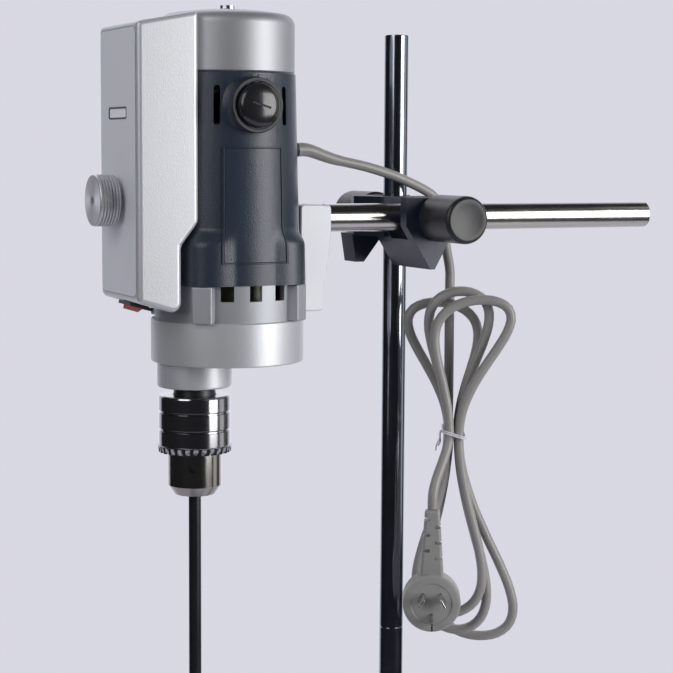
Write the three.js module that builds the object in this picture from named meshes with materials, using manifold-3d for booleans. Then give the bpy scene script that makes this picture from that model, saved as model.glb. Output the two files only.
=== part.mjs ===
// An overhead laboratory stirrer on a pole stand, in millimetres with +Z up.
// The front panel faces -X, the pole stands behind the motor at +X, and one brush cap looks to -Y.
import * as THREE from "three";
import { mergeVertices } from "three/addons/utils/BufferGeometryUtils.js";
import Module from "manifold-3d";

const wasm = await Module();
wasm.setup();

// Shared values
const overrun = 1;
const seatGap = 0.3;
const runGap = 0.4;
const gripGap = 0.1;
const wall = 2.5;
const fineSides = 24;
const midSides = 12;
const smallSides = 8;
const knobSides = 18;

// Stand
const footHeight = 5;
const footDiameter = 24;
const footInset = 22;
const baseLength = 300;
const baseWidth = 200;
const baseThickness = 10;
const baseCorner = 14;
const baseEdge = 1.2;
const poleFromRear = 35;
const poleDiameter = 16;
const poleSection = 400;
const poleChamfer = 1;
const studDiameter = 8;
const studLength = 16;
const poleBoltHead = 20;
const poleBoltHeadHeight = 4;
const poleBoltShank = 10;
const poleBoltDepth = 22;

// Places of the pole, the bar and the head
const poleBehindMotor = 135;
const poleBesideBar = 33;
const barAbovePlate = 681;
const barDiameter = 18;
const barLength = 247;
const barStud = 10;

// Motor housing and cap
const motorDiameter = 84;
const motorDraft = 3.2;
const motorHeight = 127.5;
const motorWall = 3;
const capHeight = 39;
const capCrown = 3;
const capStep = 0.6;
const capRound = 7;
const skirtHeight = 24;
const skirtFlare = 11;
const lobeOffset = 43.5;
const lobeRadius = 8.5;
const lobeFlat = 12.5;
const lobeTurn = 50;
const lobeSpreadAngle = 25;
const brushDrop = 20;
const brushBossDiameter = 33;
const brushBossReach = 5;
const brushHolderInner = 20;
const brushCapDiameter = 26.4;
const brushCapReach = 7;
const brushCapEdge = 1.5;
const brushCapDome = 4;
const brushCapSlotLength = 10;
const brushCapSlotTurn = 17;
const brushCapSlot = 2.2;
const brushCapSlotDepth = 2.4;
const brushWidth = 7;
const brushHeight = 9;
const ventHeight = 23.5;
const ventWidth = 4;
const ventAngle = 31;
const ventDrop = 13;
const labelWidth = 37;
const labelHeight = 70;
const labelRise = 0.6;
const labelBorder = 1.4;
const labelLift = 13;

// Flange and gear housing
const flangeHeight = 22.5;
const flangeDiameter = 90;
const flangeWall = 4;
const flangeFloor = 5;
const windowWidth = 8;
const windowDepth = 9.5;
const windowAngle = 22.5;
const gearHousingDiameter = 95;
const gearHousingHeight = 26.5;
const gearHousingWall = 3.5;
const outputOffset = 22;
const bossDiameter = 46;
const bossHeight = 15.5;
const bossEdge = 1;
const barAboveFlange = 38.5;
const housingScrewDiameter = 3;
const housingScrewHead = 5.5;
const housingScrewHeadHeight = 3;
const housingScrewOffset = 42;
const housingScrewGrip = 12;
const capScrewDiameter = 4;
const capScrewHead = 9;
const capScrewHeadHeight = 2;
const capScrewLength = 4;

// Gears, shafts and bearings
const toothModule = 1;
const pinionTeeth = 10;
const gearTeeth = 34;
const gearThickness = 9;
const pinionThickness = 12;
const toothBacklash = 0.5;
const armatureShaft = 8;
const laminationDiameter = 44;
const laminationHeight = 44;
const commutatorDiameter = 27;
const commutatorHeight = 16;
const commutatorSlots = 6;
const motorBearingDiameter = 22;
const motorBearingHeight = 7;
const fanDiameter = 66;
const fanHeight = 9;
const fanBlades = 6;
const fanBlade = 1.6;
const statorInner = 47;
const statorHeight = 50;
const windingReach = 12;
const windingThickness = 9;
const airGap = 1.2;
const spindleDiameter = 12;
const spindleBearingDiameter = 28;
const spindleBearingHeight = 8;
const bearingCollar = 1.2;

// Chuck, rod and impeller
const collarDiameter = 25;
const collarHeight = 3.5;
const sleeveDiameter = 40;
const sleeveHeight = 30.5;
const sleeveWall = 1.7;
const sleeveGroove = 0.8;
const ringDiameter = 42.5;
const ringHeight = 6.5;
const ringTeeth = 28;
const ringToothDepth = 3.2;
const noseDiameter = 30;
const noseHeight = 19;
const noseConeHeight = 5.5;
const noseTipDiameter = 20;
const chuckNeckDiameter = 28;
const keyHoleDiameter = 5.7;
const keyHoleLift = 8;
const keyHoleDepth = 5;
const jawDiameter = 5.8;
const jawTilt = 15;
const jawLength = 30;
const jawReach = 2.5;
const chuckTaper = 12;
const taperDepth = 16;
const rodDiameter = 7;
const rodLength = 385;
const rodInChuck = 32;
const impellerDiameter = 50;
const impellerHub = 13;
const impellerHubHeight = 14;
const bladeHeight = 12;
const bladeThickness = 1.6;
const bladePitch = 40;
const bladeCount = 4;

// Control box
const panelAhead = 71;
const panelWidth = 68;
const panelHeight = 164;
const panelBelowFlange = 8.8;
const boxRearUpper = 32;
const boxRearLower = 43;
const boxTopRise = 7.5;
const boxBottomDrop = 6.5;
const boxWall = 2.5;
const boxRound = 6;
const boxEdge = 3;
const frontPlateThickness = 1.6;
const frontPlateRecess = 1.2;
const frontPlateRim = 3.2;
const frontPlateBevel = 0.4;
const windowGlassWidth = 32;
const windowGlassHeight = 7.2;
const windowGlassThickness = 1.6;
const windowRim = 1.6;
const displayBelowTop = 52.7;
const knobDiameter = 31;
const knobLength = 13;
const knobLift = 3;
const knobAboveBottom = 59.3;
const knobGrooves = 5;
const knobGrooveDepth = 1;
const knobEdge = 1;
const knobDimple = 1.6;
const potShaftDiameter = 6;
const potShaftLength = 12;
const potBodyDiameter = 16;
const potBodyDepth = 9;
const potNutDiameter = 11;
const boardThickness = 1.6;
const boardHeight = 96;
const boardWidth = 54;
const boardStandoff = 13;
const switchLength = 21;
const switchWidth = 15;
const switchFrameRise = 2;
const switchDepth = 12;
const rockerLength = 17;
const rockerWidth = 10.5;
const rockerRise = 5;
const rockerTilt = 9;

// Bracket that carries the head on the bar
const bracketThickness = 24;
const bracketTopRise = 8.5;
const bracketRear = 66;
const bracketRearFoot = 60;
const bracketFootHeight = 17;
const bracketFootRear = 60.6;
const bracketNutSpace = 2.5;
const bracketEdge = 2.5;
const bracketSkin = 5;
const bracketScrewDiameter = 5;
const bracketScrewHead = 8.5;
const bracketScrewHeadHeight = 5;
const bracketScrewGrip = 3.5;

// Cross clamp
const clampKnobDiameter = 30;
const clampKnobLength = 38;
const clampKnobEdge = 3;
const clampScrewDiameter = 10;
const clampWidth = 44;
const clampLugThickness = 8;
const clampLugFar = 24;
const clampLugGap = 2;
const clampHeightUp = 13;
const clampHookShoulder = 5;
const clampHookToe = 6;
const clampHookDrop = 32;
const clampHookSide = 3;
const clampHookApex = 9;
const clampGrip = 0.15;

// Mains cord, its tied hank and its plug
const cordDiameter = 6.5;
const glandDiameter = 12;
const glandReach = 12;
const cordExitY = 15;
const cordExitAboveBar = 43;
const hankGap = 0.7;
const hankTurns = 3;
const hankView = 28;
const waistAside = 26;
const waistBehindBar = -4;
const waistBelowBar = 143;
const hankLead = 86;
const hankLeadBack = 4;
const hankTail = 47;
const topLoopHeights = [86, 94, 89];
const topLoopHalfWidths = [21, 18, 22];
const topLoopShifts = [-12, 4, 18];
const bottomLoopHeights = [141, 135, 122];
const bottomLoopHalfWidths = [26, 19, 20];
const bottomLoopShifts = [20, 4, -3];
const cordSides = 8;
const hankSides = 6;
const cordSteps = 22;
const hankStepsPerLoop = 26;
const tieThickness = 1.2;
const tieHeight = 3;
const tieTail = 9;
const plugDiameter = 38;
const plugThickness = 19;
const plugEdge = 2;
const reliefLength = 44;
const reliefTop = 8.6;
const reliefBottom = 15;
const reliefRibs = 3;
const plugLeft = 14;
const plugAhead = 15;
const pinRoot = 4;
const reliefGroove = 1;
const pinWidth = 6.35;
const pinThickness = 1.6;
const pinLength = 17;
const earthPinLength = 20;
const pinFromCentre = 7.9;
const earthPinFromCentre = 10;
const pinLean = 30;

// Places worked out from the sizes
const plateTop = footHeight + baseThickness;
const barZ = plateTop + barAbovePlate;
const flangeTop = barZ - barAboveFlange;
const seamZ = flangeTop + motorHeight;
const flangeBottom = flangeTop - flangeHeight;
const gearBottom = flangeBottom - gearHousingHeight;
const bossBottom = gearBottom - bossHeight;
const chuckTop = bossBottom - collarHeight;
const brushZ = seamZ - brushDrop;
const motorRadius = motorDiameter / 2;
const housingRadius = (z) => motorRadius + (motorDraft * (seamZ - z)) / motorHeight;
const poleX = poleBehindMotor;
const poleY = poleBesideBar;
const baseRear = poleX + poleFromRear;
const baseFront = baseRear - baseLength;
const barEnd = bracketRear + seatGap + barLength;
const glandEnd = motorRadius + glandReach;
const cordExitZ = barZ + cordExitAboveBar;
const capTop = seamZ + capHeight;

// Solids from three.js geometry, closed and with shared vertices
function signedVolume(position, index) {
  let volume = 0;
  const corners = [new THREE.Vector3(), new THREE.Vector3(), new THREE.Vector3()];
  for (let i = 0; i < index.length; i += 3) {
    corners.forEach((corner, k) => corner.fromArray(position, 3 * index[i + k]));
    volume += corners[0].dot(corners[1].cross(corners[2]));
  }
  return volume / 6;
}

function solidOf(source) {
  const bare = source.clone();
  bare.deleteAttribute("normal");
  bare.deleteAttribute("uv");
  const joined = mergeVertices(bare);
  const position = joined.attributes.position.array;
  const kept = [];
  for (let i = 0; i < joined.index.count; i += 3) {
    const [a, b, c] = [0, 1, 2].map((k) => joined.index.getX(i + k));
    if (a !== b && b !== c && c !== a) {
      kept.push(a, b, c);
    }
  }
  if (signedVolume(position, kept) < 0) {
    for (let i = 0; i < kept.length; i += 3) {
      [kept[i], kept[i + 1]] = [kept[i + 1], kept[i]];
    }
  }
  const vertProperties = new Float32Array(position);
  const triVerts = new Uint32Array(kept);
  return new wasm.Manifold(new wasm.Mesh({ numProp: 3, vertProperties, triVerts }));
}

function geometryOf(solid) {
  const cut = solid.getMesh();
  const geometry = new THREE.BufferGeometry();
  geometry.setAttribute("position", new THREE.BufferAttribute(cut.vertProperties, 3));
  geometry.setIndex(new THREE.BufferAttribute(cut.triVerts, 1));
  geometry.computeVertexNormals();
  return geometry;
}

// A post from one height to another, round its own upright axis, tapered if it has two radii
function post(radius, low, high, sides = fineSides, topRadius = radius) {
  const geometry = new THREE.CylinderGeometry(topRadius, radius, high - low, sides);
  return solidOf(geometry.rotateX(Math.PI / 2).translate(0, 0, (low + high) / 2));
}

// A round bar along X or Y, between two places on that axis
function barX(radius, from, to, sides = fineSides) {
  const geometry = new THREE.CylinderGeometry(radius, radius, to - from, sides);
  return solidOf(geometry.rotateZ(Math.PI / 2).translate((from + to) / 2, 0, 0));
}

function barY(radius, from, to, sides = fineSides) {
  const geometry = new THREE.CylinderGeometry(radius, radius, to - from, sides);
  return solidOf(geometry.translate(0, (from + to) / 2, 0));
}

function block(low, high) {
  const size = high.map((value, k) => value - low[k]);
  const middle = high.map((value, k) => (value + low[k]) / 2);
  return solidOf(new THREE.BoxGeometry(...size).translate(...middle));
}

// A turned piece, from [radius, height] pairs that start and end on the axis or close on themselves
function turned(profile, sides = fineSides) {
  const points = profile.map(([radius, height]) => new THREE.Vector2(radius, height));
  return solidOf(new THREE.LatheGeometry(points, sides).rotateX(Math.PI / 2));
}

// A plate with an outline in X and Y, standing from one height to another
function plate(shape, low, high, sides = smallSides / 2) {
  const options = { depth: high - low, bevelEnabled: false, curveSegments: sides };
  return solidOf(new THREE.ExtrudeGeometry(shape, options).translate(0, 0, low));
}

// A plate with an outline in X and Z, from one Y to another
function slab(shape, near, far, sides = smallSides / 2) {
  const options = { depth: far - near, bevelEnabled: false, curveSegments: sides };
  const geometry = new THREE.ExtrudeGeometry(shape, options);
  return solidOf(geometry.rotateX(Math.PI / 2).translate(0, far, 0));
}

function roundedRectangle(width, height, radius) {
  const [x, y, r] = [width / 2, height / 2, radius];
  const shape = new THREE.Shape();
  shape.moveTo(r - x, -y);
  shape.lineTo(x - r, -y);
  shape.absarc(x - r, r - y, r, -Math.PI / 2, 0);
  shape.lineTo(x, y - r);
  shape.absarc(x - r, y - r, r, 0, Math.PI / 2);
  shape.lineTo(r - x, y);
  shape.absarc(r - x, y - r, r, Math.PI / 2, Math.PI);
  shape.lineTo(-x, r - y);
  shape.absarc(r - x, r - y, r, Math.PI, 1.5 * Math.PI);
  return shape;
}

function outline(points) {
  return new THREE.Shape(points.map(([x, y]) => new THREE.Vector2(x, y)));
}

function moved(solid, x, y, z) {
  return solid.translate([x, y, z]);
}

function joinedAll(solids) {
  return solids.reduce((whole, solid) => whole.add(solid));
}

function cutAll(solid, cutters) {
  return cutters.reduce((whole, cutter) => whole.subtract(cutter), solid);
}

// Names, finishes and groups
function finish(color, roughness, metalness) {
  return new THREE.MeshStandardMaterial({ color, roughness, metalness });
}

const finishes = {
  silver: () => finish(0xc3c6cb, 0.42, 0.55),
  white: () => finish(0xdfe0e4, 0.5, 0.3),
  navy: () => finish(0x2c3747, 0.48, 0.05),
  black: () => finish(0x1d1e21, 0.5, 0.05),
  steel: () => finish(0xb9bcc0, 0.25, 1),
  chrome: () => finish(0xd0d3d6, 0.12, 1),
  brass: () => finish(0xb08d4a, 0.35, 1),
  copper: () => finish(0x9a5a32, 0.4, 0.9),
  carbon: () => finish(0x2a2a2b, 0.7, 0.2),
  rubber: () => finish(0x232426, 0.8, 0),
  paint: () => finish(0xaeb1b5, 0.5, 0.1),
  board: () => finish(0x2f5a3c, 0.6, 0),
  red: () => finish(0xb3221d, 0.35, 0),
  glass: () => finish(0xd9dde6, 0.1, 0),
  grey: () => finish(0x8d8c8a, 0.55, 0),
  tie: () => finish(0xe8e8ea, 0.4, 0),
};

function part(group, name, solid, kind) {
  const made = new THREE.Mesh(geometryOf(solid), finishes[kind]());
  made.name = name;
  group.add(made);
  return made;
}

function groupAt(parent, x, y, z) {
  const group = new THREE.Group();
  group.position.set(x, y, z);
  parent.add(group);
  return group;
}

// The origin is the middle of the footprint, on the table
const stirrer = new THREE.Group();
const frontmost = Math.min(baseFront, -panelAhead - knobLength);
const rearmost = Math.max(baseRear, barEnd);
stirrer.position.set(-(frontmost + rearmost) / 2, -poleY, 0);

// Stand: plate, feet and a pole of two screwed sections
const stand = groupAt(stirrer, poleX, poleY, 0);

function makeStand() {
  const poleRadius = poleDiameter / 2;
  const front = baseFront - poleX;
  const middle = (front + poleFromRear) / 2;
  const bodyPlate = plate(
    roundedRectangle(baseLength, baseWidth, baseCorner), footHeight, plateTop - baseEdge);
  const rimPlate = plate(
    roundedRectangle(baseLength - 2 * baseEdge, baseWidth - 2 * baseEdge, baseCorner - baseEdge),
    plateTop - baseEdge, plateTop);
  const bolt = poleBoltShank / 2;
  const head = poleBoltHead / 2;
  const headSeat = footHeight + poleBoltHeadHeight;
  const basePlate = cutAll(moved(bodyPlate.add(rimPlate), middle, 0, 0), [
    post(bolt + seatGap, 0, plateTop + overrun, midSides),
    post(head + seatGap, 0, headSeat, midSides),
  ]);
  part(stand, "base_plate", basePlate, "paint");
  const footPlaces = [
    [front + footInset, footInset - baseWidth / 2],
    [front + footInset, baseWidth / 2 - footInset],
    [poleFromRear - footInset, footInset - baseWidth / 2],
    [poleFromRear - footInset, baseWidth / 2 - footInset],
  ];
  footPlaces.forEach(([x, y], i) => {
    const foot = post(footDiameter / 2 - baseEdge, 0, footHeight, midSides, footDiameter / 2);
    part(stand, `rubber_foot_${i + 1}`, moved(foot, x, y, 0), "rubber");
  });
  const boltTop = plateTop + poleBoltDepth;
  const poleBolt = post(bolt, footHeight + seatGap, boltTop, midSides)
    .add(post(head, footHeight + seatGap, headSeat - seatGap, 6));
  part(stand, "pole_bolt", poleBolt, "steel");

  const jointZ = plateTop + poleSection;
  const poleTop = jointZ + poleSection;
  const stud = studDiameter / 2;
  const lower = turned([
    [0, plateTop],
    [poleRadius, plateTop],
    [poleRadius, jointZ - poleChamfer / 2],
    [poleRadius - poleChamfer / 2, jointZ],
    [0, jointZ],
  ], midSides);
  const lowerPole = cutAll(lower, [
    post(bolt + gripGap, plateTop - overrun, boltTop + seatGap, midSides),
    post(stud + seatGap, jointZ - studLength - seatGap, jointZ + overrun, midSides),
  ]);
  part(stand, "lower_pole", lowerPole, "chrome");
  const upper = turned([
    [0, jointZ - studLength],
    [stud, jointZ - studLength],
    [stud, jointZ],
    [poleRadius - poleChamfer / 2, jointZ],
    [poleRadius, jointZ + poleChamfer / 2],
    [poleRadius, poleTop - poleChamfer],
    [poleRadius - poleChamfer, poleTop],
    [0, poleTop],
  ], midSides);
  part(stand, "upper_pole", upper, "chrome");
}

makeStand();

// Head: the motor, its gear housing and the control box
const head = groupAt(stirrer, 0, 0, 0);

// A body whose radius depends on its height and on the direction, from one ring to the next
function lofted(rings, sides) {
  const position = [];
  const index = [];
  rings.forEach(({ z, radiusAt }) => {
    for (let i = 0; i < sides; i += 1) {
      const angle = (2 * Math.PI * i) / sides;
      const radius = radiusAt(angle);
      position.push(radius * Math.cos(angle), radius * Math.sin(angle), z);
    }
  });
  const low = rings.length * sides;
  position.push(0, 0, rings[0].z, 0, 0, rings[rings.length - 1].z);
  for (let i = 0; i < sides; i += 1) {
    const next = (i + 1) % sides;
    index.push(low, next, i);
    for (let ring = 0; ring < rings.length - 1; ring += 1) {
      const [a, b] = [ring * sides + i, ring * sides + next];
      index.push(a, b, b + sides, a, b + sides, a + sides);
    }
    const top = (rings.length - 1) * sides;
    index.push(low + 1, top + i, top + next);
  }
  const geometry = new THREE.BufferGeometry();
  geometry.setAttribute("position", new THREE.BufferAttribute(new Float32Array(position), 3));
  geometry.setIndex(index);
  return solidOf(geometry);
}

// Long screws join the gear housing, the flange and the motor housing
const screwTop = flangeTop + housingScrewGrip;

function screwWays(low, high) {
  return lobeAngles.map((angle) => post(
    housingScrewDiameter / 2 + gripGap, low, high, smallSides).translate(
    [housingScrewOffset * Math.cos(angle), housingScrewOffset * Math.sin(angle), 0]));
}

// Four screw lobes, two on each side of the panel's middle
const lobeTurns = [lobeTurn, 180 - lobeTurn, 180 + lobeTurn, 360 - lobeTurn];
const lobeAngles = lobeTurns.map(THREE.MathUtils.degToRad);
const lobeSpread = THREE.MathUtils.degToRad(lobeSpreadAngle);

function lobeShare(angle) {
  const away = Math.min(...lobeAngles.map((lobe) => Math.abs(angle - lobe)));
  return away < lobeSpread ? Math.cos((away / lobeSpread) * (Math.PI / 2)) ** 1.4 : 0;
}

function bossAround(radius, from, to) {
  return barY(radius, from, to, midSides).translate([0, 0, brushZ]);
}

function makeMotorHousing() {
  const lobeReach = lobeOffset + lobeRadius - housingRadius(flangeTop);
  const shoulder = flangeTop + skirtHeight;
  const ring = (z, share) => ({
    z,
    radiusAt: (angle) => housingRadius(z) + lobeReach * lobeShare(angle) * share,
  });
  const rings = [
    ring(flangeTop, 1),
    ring(shoulder, 1),
    ring(shoulder + skirtFlare / 4, 0.9),
    ring(shoulder + skirtFlare / 2, 0.6),
    ring(shoulder + (3 * skirtFlare) / 4, 0.28),
    ring(shoulder + skirtFlare, 0),
    ring(seamZ, 0),
  ];
  const cavity = post(motorRadius - motorWall, flangeTop - overrun, seamZ + overrun);
  const sides = [-1, 1];
  const bosses = sides.map((side) => {
    const ends = [side * brushHolderInner, side * (motorRadius + brushBossReach)].sort(
      (a, b) => a - b);
    return bossAround(brushBossDiameter / 2, ...ends);
  });
  const capBores = sides.map((side) => {
    const ends = [side * (motorRadius - motorWall), side * (motorRadius + 2 * brushBossReach)].sort(
      (a, b) => a - b);
    return bossAround(brushCapDiameter / 2 + seatGap, ...ends);
  });
  const brushWays = block(
    [-brushWidth / 2 - seatGap, -motorDiameter, brushZ - brushHeight / 2 - seatGap],
    [brushWidth / 2 + seatGap, motorDiameter, brushZ + brushHeight / 2 + seatGap]);
  const vents = [];
  sides.forEach((side) => {
    [-1, 1].forEach((turn) => {
      const vent = block(
        [-ventWidth / 2, motorRadius - 2 * motorWall, brushZ - ventHeight / 2],
        [ventWidth / 2, motorRadius + 2 * motorWall, brushZ + ventHeight / 2]);
      vents.push(vent.rotate([0, 0, turn * ventAngle + (side < 0 ? 180 : 0)]));
    });
  });
  const labelZ = flangeTop + labelLift;
  const label = (inset, reach) => block(
    [inset - labelWidth / 2, -motorDiameter - reach, labelZ + inset],
    [labelWidth / 2 - inset, motorDiameter + reach, labelZ + labelHeight - inset]);
  const labelTop = labelZ + labelHeight;
  const raised = post(housingRadius(labelZ) + labelRise, labelZ, labelTop, fineSides,
    housingRadius(labelTop) + labelRise);
  const border = raised.intersect(label(0, overrun).subtract(label(labelBorder, 2 * overrun)));
  const shell = lofted(rings, 4 * Math.round(fineSides / 3)).subtract(cavity);
  const hollowed = cutAll(shell.add(border.subtract(cavity)).add(joinedAll(bosses)), [
    brushWays, ...capBores, ...vents,
  ]);
  const gland = barX(glandDiameter / 2 + gripGap, 0, motorRadius + 2 * motorWall, midSides);
  const glandHole = gland.translate([0, cordExitY, cordExitZ]);
  const screwHoles = screwWays(flangeTop - overrun, screwTop + seatGap);
  part(head, "motor_housing", cutAll(hollowed, [glandHole, ...screwHoles]), "navy");
}

function makeBrushes() {
  [["near", -1], ["far", 1]].forEach(([name, side]) => {
    const seat = motorRadius - motorWall;
    const face = seat + motorWall + brushBossReach + brushCapReach;
    const low = seat + seatGap;
    const cap = turned([
      [0, low],
      [brushCapDiameter / 2 - brushCapEdge, low],
      [brushCapDiameter / 2, low + brushCapEdge],
      [brushCapDiameter / 2, face - brushCapDome],
      [brushCapDiameter / 2 - brushCapDome, face - brushCapDome / 4],
      [0, face],
    ], midSides);
    const slot = block(
      [-brushCapSlotLength / 2, -brushCapSlot / 2, face - brushCapSlotDepth],
      [brushCapSlotLength / 2, brushCapSlot / 2, face + overrun]);
    const turnedCap = cap.subtract(slot.rotate([0, 0, brushCapSlotTurn])).rotate([side < 0 ? 90 : -90, 0, 0]);
    part(head, `brush_cap_${name}`, turnedCap.translate([0, 0, brushZ]), "black");
    const inner = commutatorDiameter / 2 + seatGap;
    const ends = [side * inner, side * (seat - seatGap)].sort((a, b) => a - b);
    const brush = block(
      [-brushWidth / 2, ends[0], brushZ - brushHeight / 2],
      [brushWidth / 2, ends[1], brushZ + brushHeight / 2]);
    part(head, `carbon_brush_${name}`, brush, "carbon");
  });
}

function makeCap() {
  const radius = motorRadius - capStep;
  const top = seamZ + capHeight;
  const shoulder = top - capCrown;
  const turn = (share) => [
    radius - capRound * (1 - Math.cos((share * Math.PI) / 2)),
    shoulder - capRound + capRound * Math.sin((share * Math.PI) / 2),
  ];
  const outer = [0, 0.25, 0.5, 0.75, 1].map(turn);
  const shell = turned([
    [radius - wall, seamZ],
    [radius, seamZ],
    ...outer,
    [0, top],
    [0, top - wall],
    [radius - capRound, shoulder - wall],
    [radius - wall, shoulder - capRound],
    [radius - wall, seamZ],
  ]);
  const bearing = motorBearingDiameter / 2;
  const bearingLow = top - capRound - motorBearingHeight;
  const pocket = post(bearing + wall, bearingLow, top - wall / 2, midSides)
    .subtract(post(bearing + gripGap, bearingLow - overrun, bearingLow + motorBearingHeight, midSides))
    .subtract(post(armatureShaft, bearingLow - overrun, top - wall - motorBearingHeight / 3, midSides));
  const screwHole = post(capScrewDiameter / 2 + gripGap, top - capScrewLength, top + overrun, smallSides);
  const ribs = [0, 90, 180, 270].map((angle) => block(
    [bearing + wall - overrun / 2, -wall / 2, shoulder - capRound],
    [radius - capRound, wall / 2, shoulder - wall / 2]).rotate([0, 0, angle + 45]));
  part(head, "motor_cap", shell.add(pocket).add(joinedAll(ribs)).subtract(screwHole), "silver");
  const screw = post(capScrewDiameter / 2, top - capScrewLength + seatGap, top + capScrewHeadHeight,
    smallSides).add(post(capScrewHead / 2, top + seatGap, top + seatGap + capScrewHeadHeight, midSides));
  const drive = block(
    [-capScrewHead / 8, -capScrewHead / 3, top + capScrewHeadHeight / 2],
    [capScrewHead / 8, capScrewHead / 3, top + 2 * capScrewHeadHeight]);
  part(head, "cap_screw", cutAll(screw, [drive, drive.rotate([0, 0, 90])]), "steel");
}

// Field core with its end windings, which show through the flange's windows
const windingLow = flangeTop - windingReach + seatGap;
const coreLow = windingLow + windingReach + wall;

function ringOf(outer, inner, low, high, sides = fineSides) {
  return post(outer, low, high, sides).subtract(post(inner, low - overrun, high + overrun, sides));
}

function makeStator() {
  const outer = motorRadius - motorWall - seatGap;
  const coreHigh = coreLow + statorHeight;
  const windingOuter = outer - 2 * wall;
  const windingInner = windingOuter - windingThickness;
  const core = ringOf(outer, statorInner / 2, coreLow, coreHigh);
  const lowWinding = ringOf(windingOuter, windingInner, windingLow, coreLow + overrun);
  const highWinding = ringOf(windingOuter, windingInner, coreHigh - overrun, coreHigh + windingReach);
  part(head, "field_stator", joinedAll([core, lowWinding, highWinding]), "copper");
}

// Gear teeth with involute flanks, standing from one height to another
const pressureAngle = THREE.MathUtils.degToRad(20);
const addendumShare = 0.8;
const dedendumShare = 1.3;
const flankShares = [0, 1];

function toothedOutline(teeth) {
  const pitch = (toothModule * teeth) / 2;
  const base = pitch * Math.cos(pressureAngle);
  const root = pitch - dedendumShare * toothModule;
  const tip = pitch + addendumShare * toothModule;
  const involute = (angle) => Math.tan(angle) - angle;
  const halfAtPitch = ((Math.PI / 2) * toothModule - toothBacklash) / 2 / pitch;
  const halfAt = (radius) => {
    const angle = Math.acos(Math.min(1, base / radius));
    return halfAtPitch + involute(pressureAngle) - involute(angle);
  };
  const start = Math.max(base, root);
  const flank = flankShares.map((share) => {
    const radius = start + (tip - start) * share;
    return [radius, halfAt(radius)];
  });
  const rising = start > root ? [[root, halfAt(start)], ...flank] : flank;
  const points = [];
  for (let tooth = 0; tooth < teeth; tooth += 1) {
    const middle = (2 * Math.PI * tooth) / teeth;
    rising.forEach(([radius, half]) => {
      points.push([radius * Math.cos(middle - half), radius * Math.sin(middle - half)]);
    });
    [...rising].reverse().forEach(([radius, half]) => {
      points.push([radius * Math.cos(middle + half), radius * Math.sin(middle + half)]);
    });
  }
  return outline(points);
}

const topBearingLow = capTop - capRound - motorBearingHeight;
const lowBearingLow = flangeBottom + bearingCollar;
const gearChamberLow = gearBottom + gearHousingWall;
const gearLow = gearChamberLow + (flangeBottom - gearChamberLow - pinionThickness) / 2;

function makeArmature() {
  const shaft = armatureShaft / 2;
  const pinionHigh = gearLow + pinionThickness;
  const pinion = plate(toothedOutline(pinionTeeth), gearLow, pinionHigh);
  const lowBearingHigh = lowBearingLow + motorBearingHeight;
  const laminationLow = coreLow + (statorHeight - laminationHeight) / 2;
  const laminationHigh = laminationLow + laminationHeight;
  const overhang = laminationDiameter / 2 - windingThickness / 2;
  const slotted = cutAll(post(laminationDiameter / 2, laminationLow, laminationHigh),
    Array.from({ length: commutatorSlots }, (_, i) => block(
      [laminationDiameter / 2 - 2 * wall, -0.4 * wall, laminationLow - overrun],
      [laminationDiameter, 0.4 * wall, laminationHigh + overrun])
      .rotate([0, 0, (360 * (i + 0.5)) / commutatorSlots])));
  const commutatorLow = brushZ - commutatorHeight / 2;
  const bars = cutAll(post(commutatorDiameter / 2, commutatorLow, brushZ + commutatorHeight / 2),
    Array.from({ length: commutatorSlots }, (_, i) => block(
      [commutatorDiameter / 2 - overrun, -seatGap, commutatorLow - overrun],
      [commutatorDiameter, seatGap, brushZ + commutatorHeight])
      .rotate([0, 0, (360 * i) / commutatorSlots])));
  const armature = joinedAll([
    pinion,
    post(shaft, pinionHigh - overrun, topBearingLow + motorBearingHeight, midSides),
    post(shaft + 2 * bearingCollar, lowBearingHigh + seatGap, laminationLow + overrun, midSides),
    post(shaft + 2 * bearingCollar, commutatorLow, topBearingLow - seatGap, midSides),
    slotted,
    post(overhang, laminationHigh - overrun, laminationHigh + windingReach),
    post(overhang, laminationLow - windingReach / 2, laminationLow + overrun),
    bars,
  ]);
  part(head, "armature", armature, "steel");
  const fanLow = laminationHigh + windingReach + 2 * wall;
  const hub = ringOf(shaft + 3 * wall, shaft + gripGap, fanLow, fanLow + fanHeight, midSides);
  const disc = ringOf(fanDiameter / 2, shaft + wall, fanLow, fanLow + fanBlade, fineSides);
  const blades = Array.from({ length: fanBlades }, (_, i) => block(
    [shaft + 2 * wall, -fanBlade / 2, fanLow + fanBlade / 2],
    [fanDiameter / 2, fanBlade / 2, fanLow + fanHeight]).rotate([0, 0, (360 * i) / fanBlades]));
  part(head, "cooling_fan", joinedAll([hub, disc, ...blades]), "black");
}

function bearing(name, group, outer, bore, low, height) {
  const lip = (outer - bore) / 4;
  const ring = ringOf(outer, bore, low, low + height, midSides);
  const groove = ringOf(outer - lip, bore + lip, low + height - lip / 2, low + height + overrun, midSides);
  part(group, name, ring.subtract(groove), "steel");
}

const spindleTopBearing = 19;
const spindleJournal = 9;

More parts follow.
